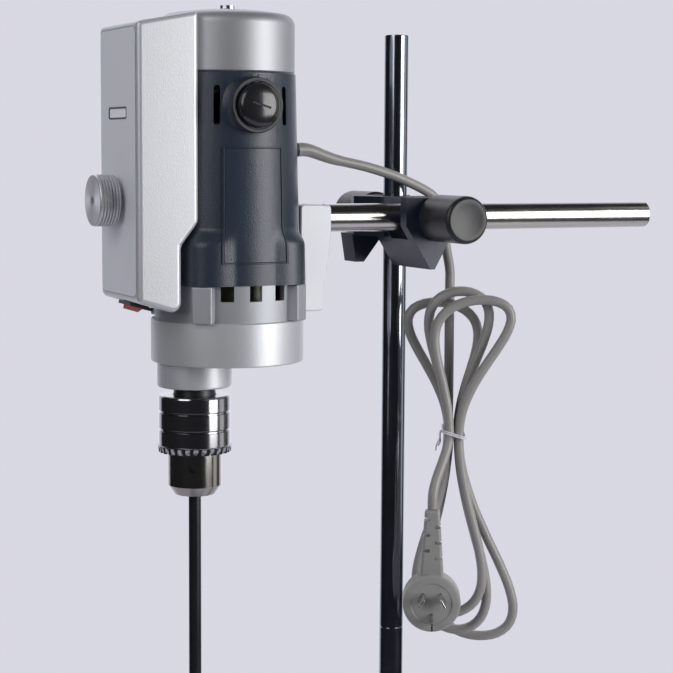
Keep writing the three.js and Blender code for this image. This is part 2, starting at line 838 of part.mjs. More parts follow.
function makeFlange() {
  const outer = flangeDiameter / 2;
  const inner = outer - flangeWall;
  const floorHigh = flangeBottom + flangeFloor;
  const lobes = lobeTurns.map((angle) => block(
    [outer - 2 * flangeWall, -lobeFlat / 2, flangeBottom],
    [lobeOffset + lobeRadius - 2 * seatGap, lobeFlat / 2, flangeTop]).rotate([0, 0, angle]));
  const ring = ringOf(outer, inner, flangeBottom, flangeTop);
  const floor = post(inner + overrun, flangeBottom, floorHigh);
  const bearingOuter = motorBearingDiameter / 2;
  const seatHigh = lowBearingLow + motorBearingHeight;
  const seat = post(bearingOuter + wall, flangeBottom, seatHigh, midSides);
  const spindleSeat = post(spindleTopBearing / 2 + wall, flangeBottom, seatHigh, midSides)
    .translate([-outputOffset, 0, 0]);
  const windows = [];
  [0, 180].forEach((side) => {
    [-windowAngle, 0, windowAngle].forEach((turn) => {
      windows.push(block(
        [inner - 2 * flangeWall, -windowWidth / 2, flangeTop - windowDepth],
        [outer + overrun, windowWidth / 2, flangeTop + overrun]).rotate([0, 0, 90 + side + turn]));
    });
  });
  const screws = screwWays(flangeBottom - overrun, flangeTop + overrun);
  const bracketScrewZ = flangeBottom + seatGap + bracketEdge + bracketFootHeight / 2;
  const bracketWay = barX(bracketScrewDiameter / 2 + seatGap, inner - 2 * flangeWall, outer + overrun,
    smallSides).translate([0, 0, bracketScrewZ]);
  const flange = cutAll(joinedAll([ring, ...lobes, floor, seat, spindleSeat]), [
    post(bearingOuter + gripGap, lowBearingLow, seatHigh + overrun, midSides),
    post(toothModule * (pinionTeeth / 2 + 1) + wall, flangeBottom - overrun, flangeTop, midSides)
      .intersect(post(bearingOuter, flangeBottom - overrun, flangeTop, midSides)),
    post(spindleTopBearing / 2 + gripGap, flangeBottom - overrun, lowBearingLow + motorBearingHeight
      - bearingCollar, midSides).translate([-outputOffset, 0, 0]),
    bracketWay,
    ...windows,
    ...screws,
  ]);
  part(head, "motor_flange", flange, "silver");
  bearing("armature_bearing_low", head, bearingOuter, armatureShaft / 2 + seatGap,
    lowBearingLow + seatGap, motorBearingHeight - seatGap);
  bearing("armature_bearing_top", head, bearingOuter, armatureShaft / 2 + seatGap,
    topBearingLow, motorBearingHeight - seatGap);
}

function makeHousingScrews() {
  const low = gearBottom + seatGap;
  lobeAngles.forEach((angle, i) => {
    const screw = post(housingScrewDiameter / 2, low, screwTop, smallSides)
      .add(post(housingScrewHead / 2, low, gearBottom + housingScrewHeadHeight, midSides))
      .subtract(post(housingScrewHead / 4, low - overrun, low + housingScrewHeadHeight / 2, 6));
    const placed = screw.translate(
      [housingScrewOffset * Math.cos(angle), housingScrewOffset * Math.sin(angle), 0]);
    part(head, `housing_screw_${i + 1}`, placed, "steel");
  });
}

function makeGearHousing() {
  const outer = gearHousingDiameter / 2;
  const boss = bossDiameter / 2;
  const cup = turned([
    [0, gearBottom],
    [outer - bossEdge, gearBottom],
    [outer, gearBottom + bossEdge],
    [outer, flangeBottom],
    [0, flangeBottom],
  ]);
  const chamber = post(outer - gearHousingWall, gearChamberLow, flangeBottom + overrun);
  const nose = turned([
    [0, bossBottom],
    [boss - bossEdge, bossBottom],
    [boss, bossBottom + bossEdge],
    [boss, gearBottom + overrun],
    [0, gearBottom + overrun],
  ]).translate([-outputOffset, 0, 0]);
  const lowBearing = spindleBearingDiameter / 2;
  const lip = bossBottom + bossEdge + bearingCollar;
  const bore = post(lowBearing + gripGap, lip, gearChamberLow + overrun, midSides)
    .add(post(spindleDiameter / 2 + 2 * gripGap, bossBottom - overrun, lip + overrun, midSides));
  const pillars = lobeAngles.map((angle) => post(
    housingScrewHead, gearBottom + overrun, flangeBottom, midSides).translate(
    [housingScrewOffset * Math.cos(angle), housingScrewOffset * Math.sin(angle), 0])
    .intersect(post(outer - overrun, gearBottom, flangeBottom)));
  const headSeats = lobeAngles.map((angle) => post(
    housingScrewHead / 2 + gripGap, gearBottom - overrun,
    gearBottom + housingScrewHeadHeight + seatGap, midSides).translate(
    [housingScrewOffset * Math.cos(angle), housingScrewOffset * Math.sin(angle), 0]));
  const housing = cutAll(joinedAll([cup.subtract(chamber), nose, ...pillars]), [
    bore.translate([-outputOffset, 0, 0]),
    ...screwWays(gearBottom - overrun, flangeBottom + overrun),
    ...headSeats,
  ]);
  part(head, "gear_housing", housing, "silver");
}

// Spindle: drive gear, chuck, rod and impeller turn together on the output axis
const spindle = groupAt(head, -outputOffset, 0, 0);
const sleeveBottom = chuckTop - sleeveHeight;
const ringBottom = sleeveBottom - ringHeight;
const noseBottom = ringBottom - noseHeight;
const noseTip = noseBottom - noseConeHeight;
const rodTop = noseTip + rodInChuck;
const rodBottom = rodTop - rodLength;
const jawTiltAngle = THREE.MathUtils.degToRad(jawTilt);
const jawSeatShare = 0.3;
const jawPivot = noseTip - (rodDiameter / 2 + jawDiameter * jawSeatShare) / Math.tan(jawTiltAngle);

// Key holes look to the front, and the jaws stand between them
const keyHoleTurns = [6, 126, 246];
const jawTurns = keyHoleTurns.map((turn) => turn + 60);

function jawAxis(solid, turn) {
  return solid.rotate([0, jawTilt, 0]).translate([0, 0, jawPivot]).rotate([0, 0, turn]);
}

function makeSpindle() {
  const bore = spindleDiameter / 2;
  const bossLip = bossBottom + bossEdge + bearingCollar;
  const topSeat = lowBearingLow + motorBearingHeight - bearingCollar;
  const gearHigh = gearLow + gearThickness;
  const lowBearingHigh = bossLip + spindleBearingHeight;
  const journal = spindleJournal / 2;
  const neck = chuckTop - taperDepth;
  const shaft = turned([
    [0, neck],
    [chuckTaper / 2 - bearingCollar / 2, neck],
    [chuckTaper / 2, chuckTop],
    [bore, chuckTop],
    [bore, lowBearingHigh + seatGap],
    [bore + bearingCollar, lowBearingHigh + seatGap],
    [bore + bearingCollar, gearLow - seatGap],
    [bore, gearLow - seatGap],
    [bore, flangeBottom - seatGap],
    [journal, flangeBottom - seatGap],
    [journal, topSeat - seatGap],
    [0, topSeat - seatGap],
  ], midSides);
  part(spindle, "output_spindle", shaft, "steel");
  const toothTurn = 180 / gearTeeth;
  const gear = plate(toothedOutline(gearTeeth), gearLow, gearHigh)
    .rotate([0, 0, toothTurn])
    .subtract(post(bore + gripGap, gearLow - overrun, gearHigh + overrun, midSides));
  part(spindle, "drive_gear", gear, "steel");
  const lowBearing = groupAt(head, -outputOffset, 0, 0);
  bearing("spindle_bearing_low", lowBearing, spindleBearingDiameter / 2, bore + seatGap,
    bossLip + seatGap, spindleBearingHeight - seatGap);
  bearing("spindle_bearing_top", lowBearing, spindleTopBearing / 2, journal + seatGap,
    flangeBottom, topSeat - flangeBottom - seatGap);
}

function makeChuck() {
  const collar = turned([
    [chuckTaper / 2 + gripGap, chuckTop + seatGap],
    [collarDiameter / 2, chuckTop + seatGap],
    [collarDiameter / 2 - bearingCollar, bossBottom - seatGap],
    [chuckTaper / 2 + gripGap, bossBottom - seatGap],
    [chuckTaper / 2 + gripGap, chuckTop + seatGap],
  ], midSides);
  part(spindle, "chuck_collar", collar, "black");

  const nose = noseDiameter / 2;
  const neck = chuckNeckDiameter / 2;
  const bodyTop = chuckTop;
  const body = turned([
    [0, noseTip],
    [noseTipDiameter / 2, noseTip],
    [nose, noseBottom],
    [nose, ringBottom + bearingCollar],
    [neck, ringBottom + bearingCollar],
    [neck, bodyTop],
    [0, bodyTop],
  ]);
  const bores = jawTurns.map((turn) => jawAxis(
    post(jawDiameter / 2 + gripGap, 0, 2 * jawLength + jawPivot, midSides), turn));
  const rodWay = post(rodDiameter / 2 + gripGap, noseTip - overrun, rodTop + seatGap, midSides);
  const taper = turned([
    [0, bodyTop - taperDepth - seatGap],
    [chuckTaper / 2 - bearingCollar / 2 + gripGap, bodyTop - taperDepth - seatGap],
    [chuckTaper / 2 + gripGap, bodyTop + overrun],
    [0, bodyTop + overrun],
  ], midSides);
  const keyHoles = keyHoleTurns.map((turn) => barX(
    keyHoleDiameter / 2, nose - keyHoleDepth, nose + overrun, smallSides)
    .translate([0, 0, noseBottom + keyHoleLift]).rotate([0, 0, turn]));
  part(spindle, "chuck_body", cutAll(body, [...bores, rodWay, taper, ...keyHoles]), "chrome");

  jawTurns.forEach((turn, i) => {
    const low = (noseTip - jawReach - jawPivot) / Math.cos(jawTiltAngle);
    const jaw = post(jawDiameter / 2, low, low + jawLength, midSides);
    const inner = block(
      [-jawLength, -jawLength, -overrun], [rodDiameter / 2 + gripGap, jawLength, chuckTop]);
    part(spindle, `chuck_jaw_${i + 1}`, jawAxis(jaw, 0).subtract(inner).rotate([0, 0, turn]), "steel");
  });
}

function makeSleeve() {
  const outer = sleeveDiameter / 2;
  const ring = ringDiameter / 2;
  const inner = outer - sleeveWall;
  const neck = chuckNeckDiameter / 2 + runGap;
  const bottom = ringBottom + bearingCollar + runGap;
  const groove = (z) => [
    [outer, z - sleeveGroove],
    [outer - sleeveGroove, z],
    [outer, z + sleeveGroove],
  ];
  const bandShares = [0.3, 0.72];
  const grooves = bandShares.map((share) => groove(sleeveBottom + sleeveHeight * share));
  const lip = noseDiameter / 2 + runGap;
  const sleeve = turned([
    [lip + overrun, ringBottom],
    [ring - ringToothDepth / 2, ringBottom],
    [ring, ringBottom + ringToothDepth],
    [ring, sleeveBottom - bearingCollar / 2],
    [outer, sleeveBottom],
    ...grooves.flat(),
    [outer, chuckTop - bearingCollar],
    [outer - bearingCollar, chuckTop],
    [neck, chuckTop],
    [neck, chuckTop - 2 * sleeveWall],
    [inner, chuckTop - 2 * sleeveWall],
    [inner, bottom],
    [lip + overrun, ringBottom],
  ]);
  const pitch = (Math.PI * ring) / ringTeeth;
  const notches = Array.from({ length: ringTeeth }, (_, i) => {
    const shape = outline([[-pitch / 2, -overrun], [pitch / 2, -overrun], [0, ringToothDepth]]);
    const notch = slab(shape, ring - ringToothDepth, ring + overrun, 1);
    return notch.translate([0, 0, ringBottom]).rotate([0, 0, (360 * i) / ringTeeth]);
  });
  part(spindle, "chuck_sleeve", cutAll(sleeve, notches), "chrome");
}

function makeRod() {
  const radius = rodDiameter / 2;
  const hub = impellerHub / 2;
  const low = rodBottom;
  const hubLow = low + bearingCollar;
  const rod = turned([
    [0, low],
    [radius - bearingCollar / 2, low],
    [radius, low + bearingCollar / 2],
    [radius, rodTop],
    [0, rodTop],
  ], midSides);
  part(spindle, "stirrer_rod", rod, "steel");
  const middle = hubLow + impellerHubHeight / 2;
  const blades = Array.from({ length: bladeCount }, (_, i) => block(
    [hub - overrun, -bladeThickness / 2, -bladeHeight / 2],
    [impellerDiameter / 2, bladeThickness / 2, bladeHeight / 2])
    .rotate([bladePitch, 0, 0]).translate([0, 0, middle]).rotate([0, 0, (360 * i) / bladeCount]));
  const core = post(hub, hubLow, hubLow + impellerHubHeight, midSides);
  const bore = post(radius + gripGap, hubLow - overrun, hubLow + impellerHubHeight + overrun, midSides);
  part(spindle, "impeller", joinedAll([core, ...blades]).subtract(bore), "steel");
}

// Control box with its front plate, display, speed knob and mains switch
const panelLow = flangeTop - panelBelowFlange;
const panelHigh = panelLow + panelHeight;
const panelFace = -panelAhead;
const boxFront = panelFace + frontPlateThickness - frontPlateRecess;
const plateBack = panelFace + frontPlateThickness;
const wallBack = boxFront + boxWall;
const displayZ = panelHigh - displayBelowTop;
const knobZ = panelLow + knobAboveBottom;
const halfPanel = panelWidth / 2;

// The side outline, from the front edge over the top and down to the rounded rear corner
function boxSide(inset) {
  const front = boxFront + inset;
  const topRear = [-boxRearUpper - inset, panelHigh + boxTopRise - inset];
  const stepHigh = flangeTop + skirtHeight + skirtFlare + boxEdge;
  const stepLow = flangeTop + skirtHeight;
  const rear = -boxRearLower - inset;
  const low = panelLow - boxBottomDrop + inset;
  const shape = new THREE.Shape();
  shape.moveTo(front, panelLow + inset);
  shape.lineTo(front, panelHigh - inset);
  shape.lineTo(...topRear);
  shape.lineTo(-boxRearUpper - inset, stepHigh);
  shape.lineTo(rear, stepLow);
  shape.lineTo(rear, low + boxRound);
  shape.absarc(rear - boxRound, low + boxRound, boxRound, 0, -Math.PI / 2, true);
  shape.closePath();
  return shape;
}

function makeControlBox() {
  const full = slab(boxSide(0), boxEdge - halfPanel, halfPanel - boxEdge);
  const flank = slab(boxSide(boxEdge / 2), -halfPanel, halfPanel);
  const middle = slab(boxSide(boxEdge / 6), boxEdge / 3 - halfPanel, halfPanel - boxEdge / 3);
  const hollow = slab(boxSide(boxWall), boxWall - halfPanel, halfPanel - boxWall);
  const recess = frontPlateOutline(seatGap, -plateBack - seatGap, overrun - panelFace);
  const panelHoles = [recess, displayView(wallBack), potHole(wallBack)];
  const low = panelLow - motorHeight;
  const high = capTop + wall;
  const housing = post(housingRadius(low) + seatGap, low, high, fineSides, housingRadius(high) + seatGap);
  const lobes = post(lobeOffset + lobeRadius + seatGap, panelLow - 2 * boxBottomDrop,
    flangeTop + skirtHeight + skirtFlare + seatGap, fineSides);
  const gear = post(gearHousingDiameter / 2 + seatGap, panelLow - 2 * boxBottomDrop, flangeBottom + seatGap);
  const switchHole = inSwitch(block(
    [-switchWidth / 2 + switchFrameRise, -switchLength / 2 + switchFrameRise, -2 * boxWall],
    [switchWidth / 2 - switchFrameRise, switchLength / 2 - switchFrameRise, 2 * boxWall]));
  const shell = cutAll(joinedAll([full, flank, middle]), [
    hollow, ...panelHoles, housing, lobes, gear, switchHole,
  ]);
  part(head, "control_box", shell.add(boxLugs()).subtract(housing), "silver");
}

// The lugs that hold the box to the motor housing
function boxLugs() {
  const reach = motorRadius + 2 * seatGap;
  const lug = (z) => block(
    [-boxRearUpper - 2 * boxWall, 2 * boxWall - halfPanel, z],
    [-Math.sqrt(reach ** 2 - (halfPanel - 4 * boxWall) ** 2), 3 * boxWall - halfPanel, z + 2 * boxWall]);
  const lugs = [displayZ, knobZ].map(lug);
  const spine = block(
    [-boxRearUpper - 2 * boxWall, boxWall / 2 - halfPanel, knobZ],
    [-boxRearUpper - boxWall, 3 * boxWall - halfPanel, displayZ + 2 * boxWall]);
  return joinedAll([spine, ...lugs]);
}

// The front plate's rounded shape, grown by a gap, between two distances ahead of the motor
function frontPlateOutline(grow, near, far) {
  const inset = frontPlateRim - grow;
  const shape = roundedRectangle(panelHeight - 2 * inset, panelWidth - 2 * inset, boxRound - inset / 2);
  return plate(shape, near, far, 3).rotate([0, -90, 0]).translate([0, 0, (panelLow + panelHigh) / 2]);
}

function displayView(back) {
  return block(
    [panelFace - overrun, windowRim - windowGlassWidth / 2, displayZ + windowRim - windowGlassHeight / 2],
    [back + overrun, windowGlassWidth / 2 - windowRim, displayZ + windowGlassHeight / 2 - windowRim]);
}

function potHole(back) {
  return barX(potShaftDiameter / 2 + gripGap + bearingCollar, panelFace - overrun, back + overrun, midSides)
    .translate([0, 0, knobZ]);
}

function makeFrontPlate() {
  const body = frontPlateOutline(0, -plateBack, -panelFace - frontPlateBevel)
    .add(frontPlateOutline(-frontPlateBevel, -plateBack, -panelFace));
  const glass = block(
    [panelFace - overrun, -windowGlassWidth / 2 - gripGap, displayZ - windowGlassHeight / 2 - gripGap],
    [panelFace + windowGlassThickness + gripGap, windowGlassWidth / 2 + gripGap,
      displayZ + windowGlassHeight / 2 + gripGap]);
  part(head, "front_plate", cutAll(body, [glass, displayView(plateBack), potHole(plateBack)]), "silver");
  const pane = block(
    [panelFace, -windowGlassWidth / 2, displayZ - windowGlassHeight / 2],
    [panelFace + windowGlassThickness, windowGlassWidth / 2, displayZ + windowGlassHeight / 2]);
  part(head, "display_window", pane, "glass");
}

function makeSpeedKnob() {
  const radius = knobDiameter / 2;
  const inner = panelAhead + knobLift;
  const outer = inner + knobLength;
  const step = (knobLength - 4 * knobEdge) / knobGrooves;
  const grooves = Array.from({ length: knobGrooves }, (_, i) => {
    const low = inner + 2 * knobEdge + step * i;
    return [
      [radius, low],
      [radius - knobGrooveDepth, low + step * 0.3],
      [radius, low + step * 0.6],
    ];
  });
  const bore = potShaftDiameter / 2 + gripGap;
  const profile = [
    [bore, inner],
    [radius - knobEdge, inner],
    [radius, inner + knobEdge],
    ...grooves.flat(),
    [radius, outer - knobEdge],
    [radius - knobEdge, outer],
    [knobDimple * 2, outer],
    [0, outer - knobDimple],
    [0, panelAhead + potShaftLength + seatGap],
    [bore, panelAhead + potShaftLength + seatGap],
    [bore, inner],
  ];
  const knob = turned(profile).rotate([0, -90, 0]).translate([0, 0, knobZ]);
  part(head, "speed_knob", knob, "silver");
  const boardFront = wallBack + potBodyDepth + seatGap;
  const shaft = barX(potShaftDiameter / 2, -panelAhead - potShaftLength, wallBack + overrun, midSides);
  const nut = barX(potNutDiameter / 2, wallBack + seatGap, wallBack + seatGap + potBodyDepth / 3, 6);
  const body = barX(potBodyDiameter / 2, wallBack + potBodyDepth / 4, boardFront - seatGap, midSides);
  part(head, "speed_dial_base", joinedAll([shaft, nut, body]).translate([0, 0, knobZ]), "black");
  const board = block(
    [boardFront, -boardWidth / 2, knobZ - potBodyDiameter],
    [boardFront + boardThickness, boardWidth / 2, knobZ - potBodyDiameter + boardHeight]);
  const chips = block(
    [boardFront + boardThickness / 2, -boardWidth / 4, knobZ + potBodyDiameter],
    [boardFront + 3 * boardThickness, boardWidth / 4, knobZ + 2 * potBodyDiameter]);
  const lens = block(
    [panelFace + windowGlassThickness + seatGap, 2 * windowRim - windowGlassWidth / 2,
      displayZ + windowRim + gripGap - windowGlassHeight / 2],
    [boardFront + overrun, windowGlassWidth / 2 - 2 * windowRim,
      displayZ + windowGlassHeight / 2 - windowRim - gripGap]);
  const rails = [-1, 1].map((side) => block(
    [boardFront, side > 0 ? boardWidth / 2 - overrun : boxWall + seatGap - halfPanel, displayZ - boxRound],
    [boardFront + boardThickness, side > 0 ? halfPanel - boxWall - seatGap : overrun - boardWidth / 2,
      displayZ + boxRound]));
  part(head, "display_board", joinedAll([board, chips, lens, ...rails]), "board");
}

// The switch sits in the sloping bottom of the box
const bottomSlope = Math.atan2(boxBottomDrop, -boxFront - boxRearLower - boxRound);
const switchX = (boxFront - boxRearLower - boxRound) / 2;

function inSwitch(solid) {
  const along = (switchX - boxFront) * Math.tan(bottomSlope);
  return solid.rotate([0, THREE.MathUtils.radToDeg(bottomSlope), 0])
    .translate([switchX, 0, panelLow - along]);
}

function makeSwitch() {
  const [x, y] = [switchWidth / 2, switchLength / 2];
  const rim = switchFrameRise;
  const flangePlate = block([-x, -y, -rim - seatGap], [x, y, -seatGap]);
  const box = block(
    [rim + gripGap - x, rim + gripGap - y, -rim - seatGap], [x - rim - gripGap, y - rim - gripGap, switchDepth]);
  const well = block(
    [-rockerWidth / 2 - gripGap, -rockerLength / 2 - gripGap, -rim - overrun],
    [rockerWidth / 2 + gripGap, rockerLength / 2 + gripGap, switchDepth - boxWall]);
  part(head, "switch_frame", inSwitch(flangePlate.add(box).subtract(well)), "black");
  const shape = outline([
    [2 * runGap - rockerLength / 2, rockerPivot],
    [2 * runGap - rockerLength / 2, -rim - rockerRise / 3],
    [0, -rim],
    [rockerLength / 2 - 2 * runGap, -rim - rockerRise / 3],
    [rockerLength / 2 - 2 * runGap, rockerPivot],
    [0, rockerPivot + boxWall],
  ]);
  const rocker = slab(shape, seatGap - rockerWidth / 2, rockerWidth / 2 - seatGap)
    .translate([0, 0, -rockerPivot]).rotate([0, rockerTilt, 90]).translate([0, 0, rockerPivot]);
  part(head, "switch_rocker", inSwitch(rocker), "red");
}
const rockerPivot = switchFrameRise / 2;

// Bracket behind the motor and the bar that is screwed into it
const barGroup = groupAt(stirrer, 0, 0, barZ);

function makeBracket() {
  const halfThick = bracketThickness / 2;
  const footLow = -barAboveFlange - flangeHeight + seatGap + bracketEdge;
  const footHigh = footLow + bracketFootHeight;
  const inner = motorRadius + bracketNutSpace;
  const shape = outline([
    [flangeDiameter / 2 - flangeWall, footLow],
    [bracketFootRear - bracketEdge / 2, footLow],
    [bracketFootRear, footLow + bracketEdge / 2],
    [bracketFootRear, footHigh - bracketEdge / 3],
    [bracketRearFoot, footHigh],
    [bracketRear, -barDiameter / 4],
    [bracketRear, bracketTopRise - bracketEdge],
    [bracketRear - bracketEdge, bracketTopRise],
    [inner + bracketEdge, bracketTopRise + bracketEdge / 2],
    [inner, bracketTopRise - bracketEdge],
    [inner, footHigh],
    [flangeDiameter / 2 - flangeWall, footHigh],
  ]);
  const rough = slab(shape, -halfThick, halfThick);
  const inset = halfThick - bracketEdge / 2;
  const trimmed = rough.intersect(joinedAll([
    block([0, -inset, footLow - overrun], [bracketRear + overrun, inset, bracketTopRise + bracketEdge]),
    block([0, -halfThick, footLow + bracketEdge / 2], [bracketRear - bracketEdge / 2, halfThick,
      bracketTopRise - bracketEdge / 2]),
  ]));
  const motorClear = post(housingRadius(flangeTop) + seatGap, footLow - overrun, bracketTopRise + bracketEdge);
  const studLow = inner + bracketSkin;
  const screwZ = (footLow + footHigh) / 2;
  const screwWay = barX(bracketScrewDiameter / 2 + gripGap, 0, bracketRear + overrun, smallSides)
    .add(barX(bracketScrewHead / 2 + seatGap, bracketFootRear - bracketScrewHeadHeight - seatGap,
      bracketRear + overrun, midSides)).translate([0, 0, screwZ]);
  const studWay = barX(barStud / 2 + seatGap, studLow, bracketRear + overrun, fineSides);
  part(barGroup, "rear_bracket", cutAll(trimmed, [motorClear, screwWay, studWay]), "white");

  const screwHigh = bracketFootRear - seatGap;
  const screwLow = flangeDiameter / 2 + seatGap - bracketScrewGrip;
  const screw = barX(bracketScrewDiameter / 2, screwLow, screwHigh, smallSides)
    .add(barX(bracketScrewHead / 2, screwHigh - bracketScrewHeadHeight, screwHigh, midSides))
    .subtract(barX(bracketScrewHead / 4, screwHigh - bracketScrewHeadHeight / 2, screwHigh + overrun, 6));
  part(barGroup, "bracket_screw", screw.translate([0, 0, screwZ]), "steel");

  const radius = barDiameter / 2;
  const start = bracketRear + seatGap;
  const end = start + barLength;
  const bar = turned([
    [0, studLow + seatGap],
    [barStud / 2, studLow + seatGap],
    [barStud / 2, start],
    [radius, start],
    [radius, end - poleChamfer],
    [radius - poleChamfer, end],
    [0, end],
  ], fineSides).rotate([0, 90, 0]);
  part(barGroup, "support_bar", bar, "steel");
}

// Cross clamp: one casting with a hook for the bar and a hook for the pole
const clamp = groupAt(stirrer, poleX, 0, barZ);

function makeClamp() {
  const bar = barDiameter / 2 + clampGrip;
  const pole = poleDiameter / 2 + clampGrip;
  const half = clampWidth / 2;
  const up = clampHeightUp;
  const frontLug = [-clampLugFar, -clampLugFar + clampLugThickness];
  const rearLug = [poleBesideBar + clampLugFar - clampLugThickness, poleBesideBar + clampLugFar];
  const barFace = bar * Math.SQRT1_2;
  const poleFace = poleBesideBar - pole * Math.SQRT1_2;
  const facing = outline([
    [-half, up],
    [-half, -clampHookShoulder],
    [-clampHookToe, -clampHookDrop],
    [clampHookToe, -clampHookDrop],
    [half, -clampHookShoulder],
    [half, up],
  ]);
  const channelFloor = -(bar * Math.SQRT2 + overrun);
  const front = slab(facing, frontLug[0], poleFace);
  const channel = block([-half - overrun, frontLug[1], channelFloor], [half + overrun, barFace, up + overrun]);
  const barSquare = block([-half - overrun, -bar, -bar], [half + overrun, bar, bar]).rotate([45, 0, 0]);
  const hook = outline([
    [half - overrun, barFace + wall],
    [half - overrun, poleFace],
    [-pole - clampHookSide, poleFace],
    [-pole - clampHookSide, rearLug[0]],
    [half - 2 * overrun, rearLug[0]],
    [half - 2 * overrun, rearLug[1]],
    [-half + overrun, rearLug[1]],
    [-half - clampHookApex, poleBesideBar],
    [-half + overrun, barFace + wall],
  ]);
  const rear = plate(hook, -up, up, 2);
  const poleSquare = block([-pole, -pole, -clampHookDrop - overrun], [pole, pole, up + overrun])
    .rotate([0, 0, 45]).translate([0, poleBesideBar, 0]);
  const screw = clampScrewDiameter / 2 + seatGap;
  const frontWay = barY(screw, frontLug[0] - overrun, frontLug[1] + overrun, midSides);
  const rearWay = barY(screw, rearLug[0] - overrun, rearLug[1] + overrun, midSides);
  const ribs = joinedAll([
    barY(screw + 2 * wall, frontLug[0] - clampLugGap / 2, frontLug[0] + wall, midSides),
    barY(screw + 2 * wall, rearLug[1] - wall, rearLug[1] + clampLugGap / 2, midSides),
  ]);
  const pocket = block(
    [-clampHookToe, barFace + 2 * wall, -clampHookDrop - overrun],
    [clampHookToe, poleFace - wall, -up - wall]);
  const casting = cutAll(front.subtract(channel).add(rear).add(ribs), [
    barSquare, poleSquare, frontWay, rearWay, pocket,
  ]);
  part(clamp, "clamp_body", casting, "navy");

  const knobSolid = (radius, length) => turned([
    [0, 0],
    [radius - clampKnobEdge / 2, 0],
    [radius, clampKnobEdge / 2],
    [radius, length - clampKnobEdge],
    [radius - clampKnobEdge * 0.3, length - clampKnobEdge * 0.3],
    [radius - clampKnobEdge, length],
    [radius - 2 * clampKnobEdge, length],
    [radius - 2 * clampKnobEdge, length - clampKnobEdge / 2],
    [0, length - clampKnobEdge / 2],
  ], knobSides);
  const radius = clampKnobDiameter / 2;
  const start = clampLugFar + clampLugGap;
  const makeKnob = (name, y, side, grip) => {
    const knob = knobSolid(radius, clampKnobLength).translate([0, 0, start])
      .add(post(clampScrewDiameter / 2, grip, start + overrun, midSides));
    const turnedKnob = knob.rotate([side < 0 ? 90 : -90, 0, 0]).translate([0, y, 0]);
    part(clamp, name, turnedKnob, "black");
  };
  makeKnob("bar_clamp_knob", 0, -1, barDiameter / 2 + seatGap);
  makeKnob("pole_clamp_knob", poleBesideBar, 1, poleDiameter / 2 + seatGap);
}

// Cable gland at the back of the motor housing
function makeGland() {
  const radius = glandDiameter / 2;
  const low = motorRadius - 2 * motorWall;
  const collar = housingRadius(cordExitZ) + gripGap;
  const high = glandEnd;
  const cord = cordDiameter / 2 + gripGap;
  const gland = turned([
    [cord, low],
    [radius, low],
    [radius, collar],
    [radius + bearingCollar, collar],
    [radius + bearingCollar, collar + motorWall],
    [cord + bearingCollar, high],
    [cord, high],
    [cord, low],
  ], midSides).rotate([0, 90, 0]).translate([0, cordExitY, cordExitZ]);
  part(head, "cord_gland", gland, "black");
}

// Mains cord: it lies over the clamp and drops behind the bar
const hank = groupAt(stirrer, poleX + waistAside, waistBehindBar, barZ - waistBelowBar);
hank.rotation.z = -THREE.MathUtils.degToRad(hankView);
const hankPitch = cordDiameter + hankGap;
const runAside = hankPitch * 0.45;
const hankDepth = (hankPitch * hankTurns) / 2;
const hankEntry = new THREE.Vector3(-runAside, hankDepth + hankLeadBack, hankLead)
  .applyAxisAngle(new THREE.Vector3(0, 0, 1), hank.rotation.z)
  .add(hank.position);

// Points of the route, as X, Y and height over the bar
const cordRoute = [
  [80, 15.5, 38],
  [110, 16.5, 36],
  [134, 17.5, 33],
  [148, 17.5, 28],
  [158, 17.6, 20],
  [164.5, 17.8, 8.5],
  [166.8, 17.6, -6],
  [166.8, 15, -22],
  [165.2, 10.8, -37],
];

// A tube on given rings: each ring stands square to the line through its neighbours
function tubeOnPoints(points, radius, sides) {
  const position = [];
  const index = [];
  const across = new THREE.Vector3(0, 1, 0);
  points.forEach((point, ring) => {
    const before = points[Math.max(ring - 1, 0)];
    const after = points[Math.min(ring + 1, points.length - 1)];
    const along = after.clone().sub(before).normalize();
    const side = across.clone().addScaledVector(along, -across.dot(along)).normalize();
    const up = along.clone().cross(side);
    across.copy(side);
    for (let i = 0; i < sides; i += 1) {
      const angle = (2 * Math.PI * (i + 0.5)) / sides;
      const place = point.clone()
        .addScaledVector(side, radius * Math.cos(angle))
        .addScaledVector(up, radius * Math.sin(angle));
      position.push(place.x, place.y, place.z);
    }
  });
  const last = (points.length - 1) * sides;
  for (let i = 0; i < sides; i += 1) {
    const next = (i + 1) % sides;
    for (let ring = 0; ring < last; ring += sides) {
      index.push(ring + i, ring + next, ring + sides + next);
      index.push(ring + i, ring + sides + next, ring + sides + i);
    }
    if (i > 0 && next > 0) {
      index.push(0, next, i);
      index.push(last, last + i, last + next);
    }
  }
  const geometry = new THREE.BufferGeometry();
  geometry.setAttribute("position", new THREE.BufferAttribute(new Float32Array(position), 3));
  geometry.setIndex(index);
  return solidOf(geometry);
}

function makeCord() {
  const start = new THREE.Vector3(glandEnd + seatGap, cordExitY, cordExitZ);
  const end = hankEntry.clone().add(new THREE.Vector3(0, 0, seatGap));
  const points = [
    start,
    start.clone().add(new THREE.Vector3(cordDiameter, 0, 0)),
    ...cordRoute.map(([x, y, z]) => new THREE.Vector3(x, y, barZ + z)),
    end.clone().add(new THREE.Vector3(0, 0, 2 * cordDiameter)),
    end.clone().add(new THREE.Vector3(0, 0, cordDiameter)),
    end,
  ];
  const curve = new THREE.CatmullRomCurve3(points, false, "centripetal");
  const rings = curve.getSpacedPoints(cordSteps);
  rings.splice(1, 0, points[1].clone());
  rings.splice(rings.length - 1, 0, points[points.length - 2].clone());
  const spaced = rings.filter((ring, i) => i === 0 || ring.distanceTo(rings[i - 1]) > cordDiameter / 4);
  part(stirrer, "mains_cord", tubeOnPoints(spaced, cordDiameter / 2, cordSides), "grey");
  console.log("free cord mm", curve.getLength().toFixed(0));
}

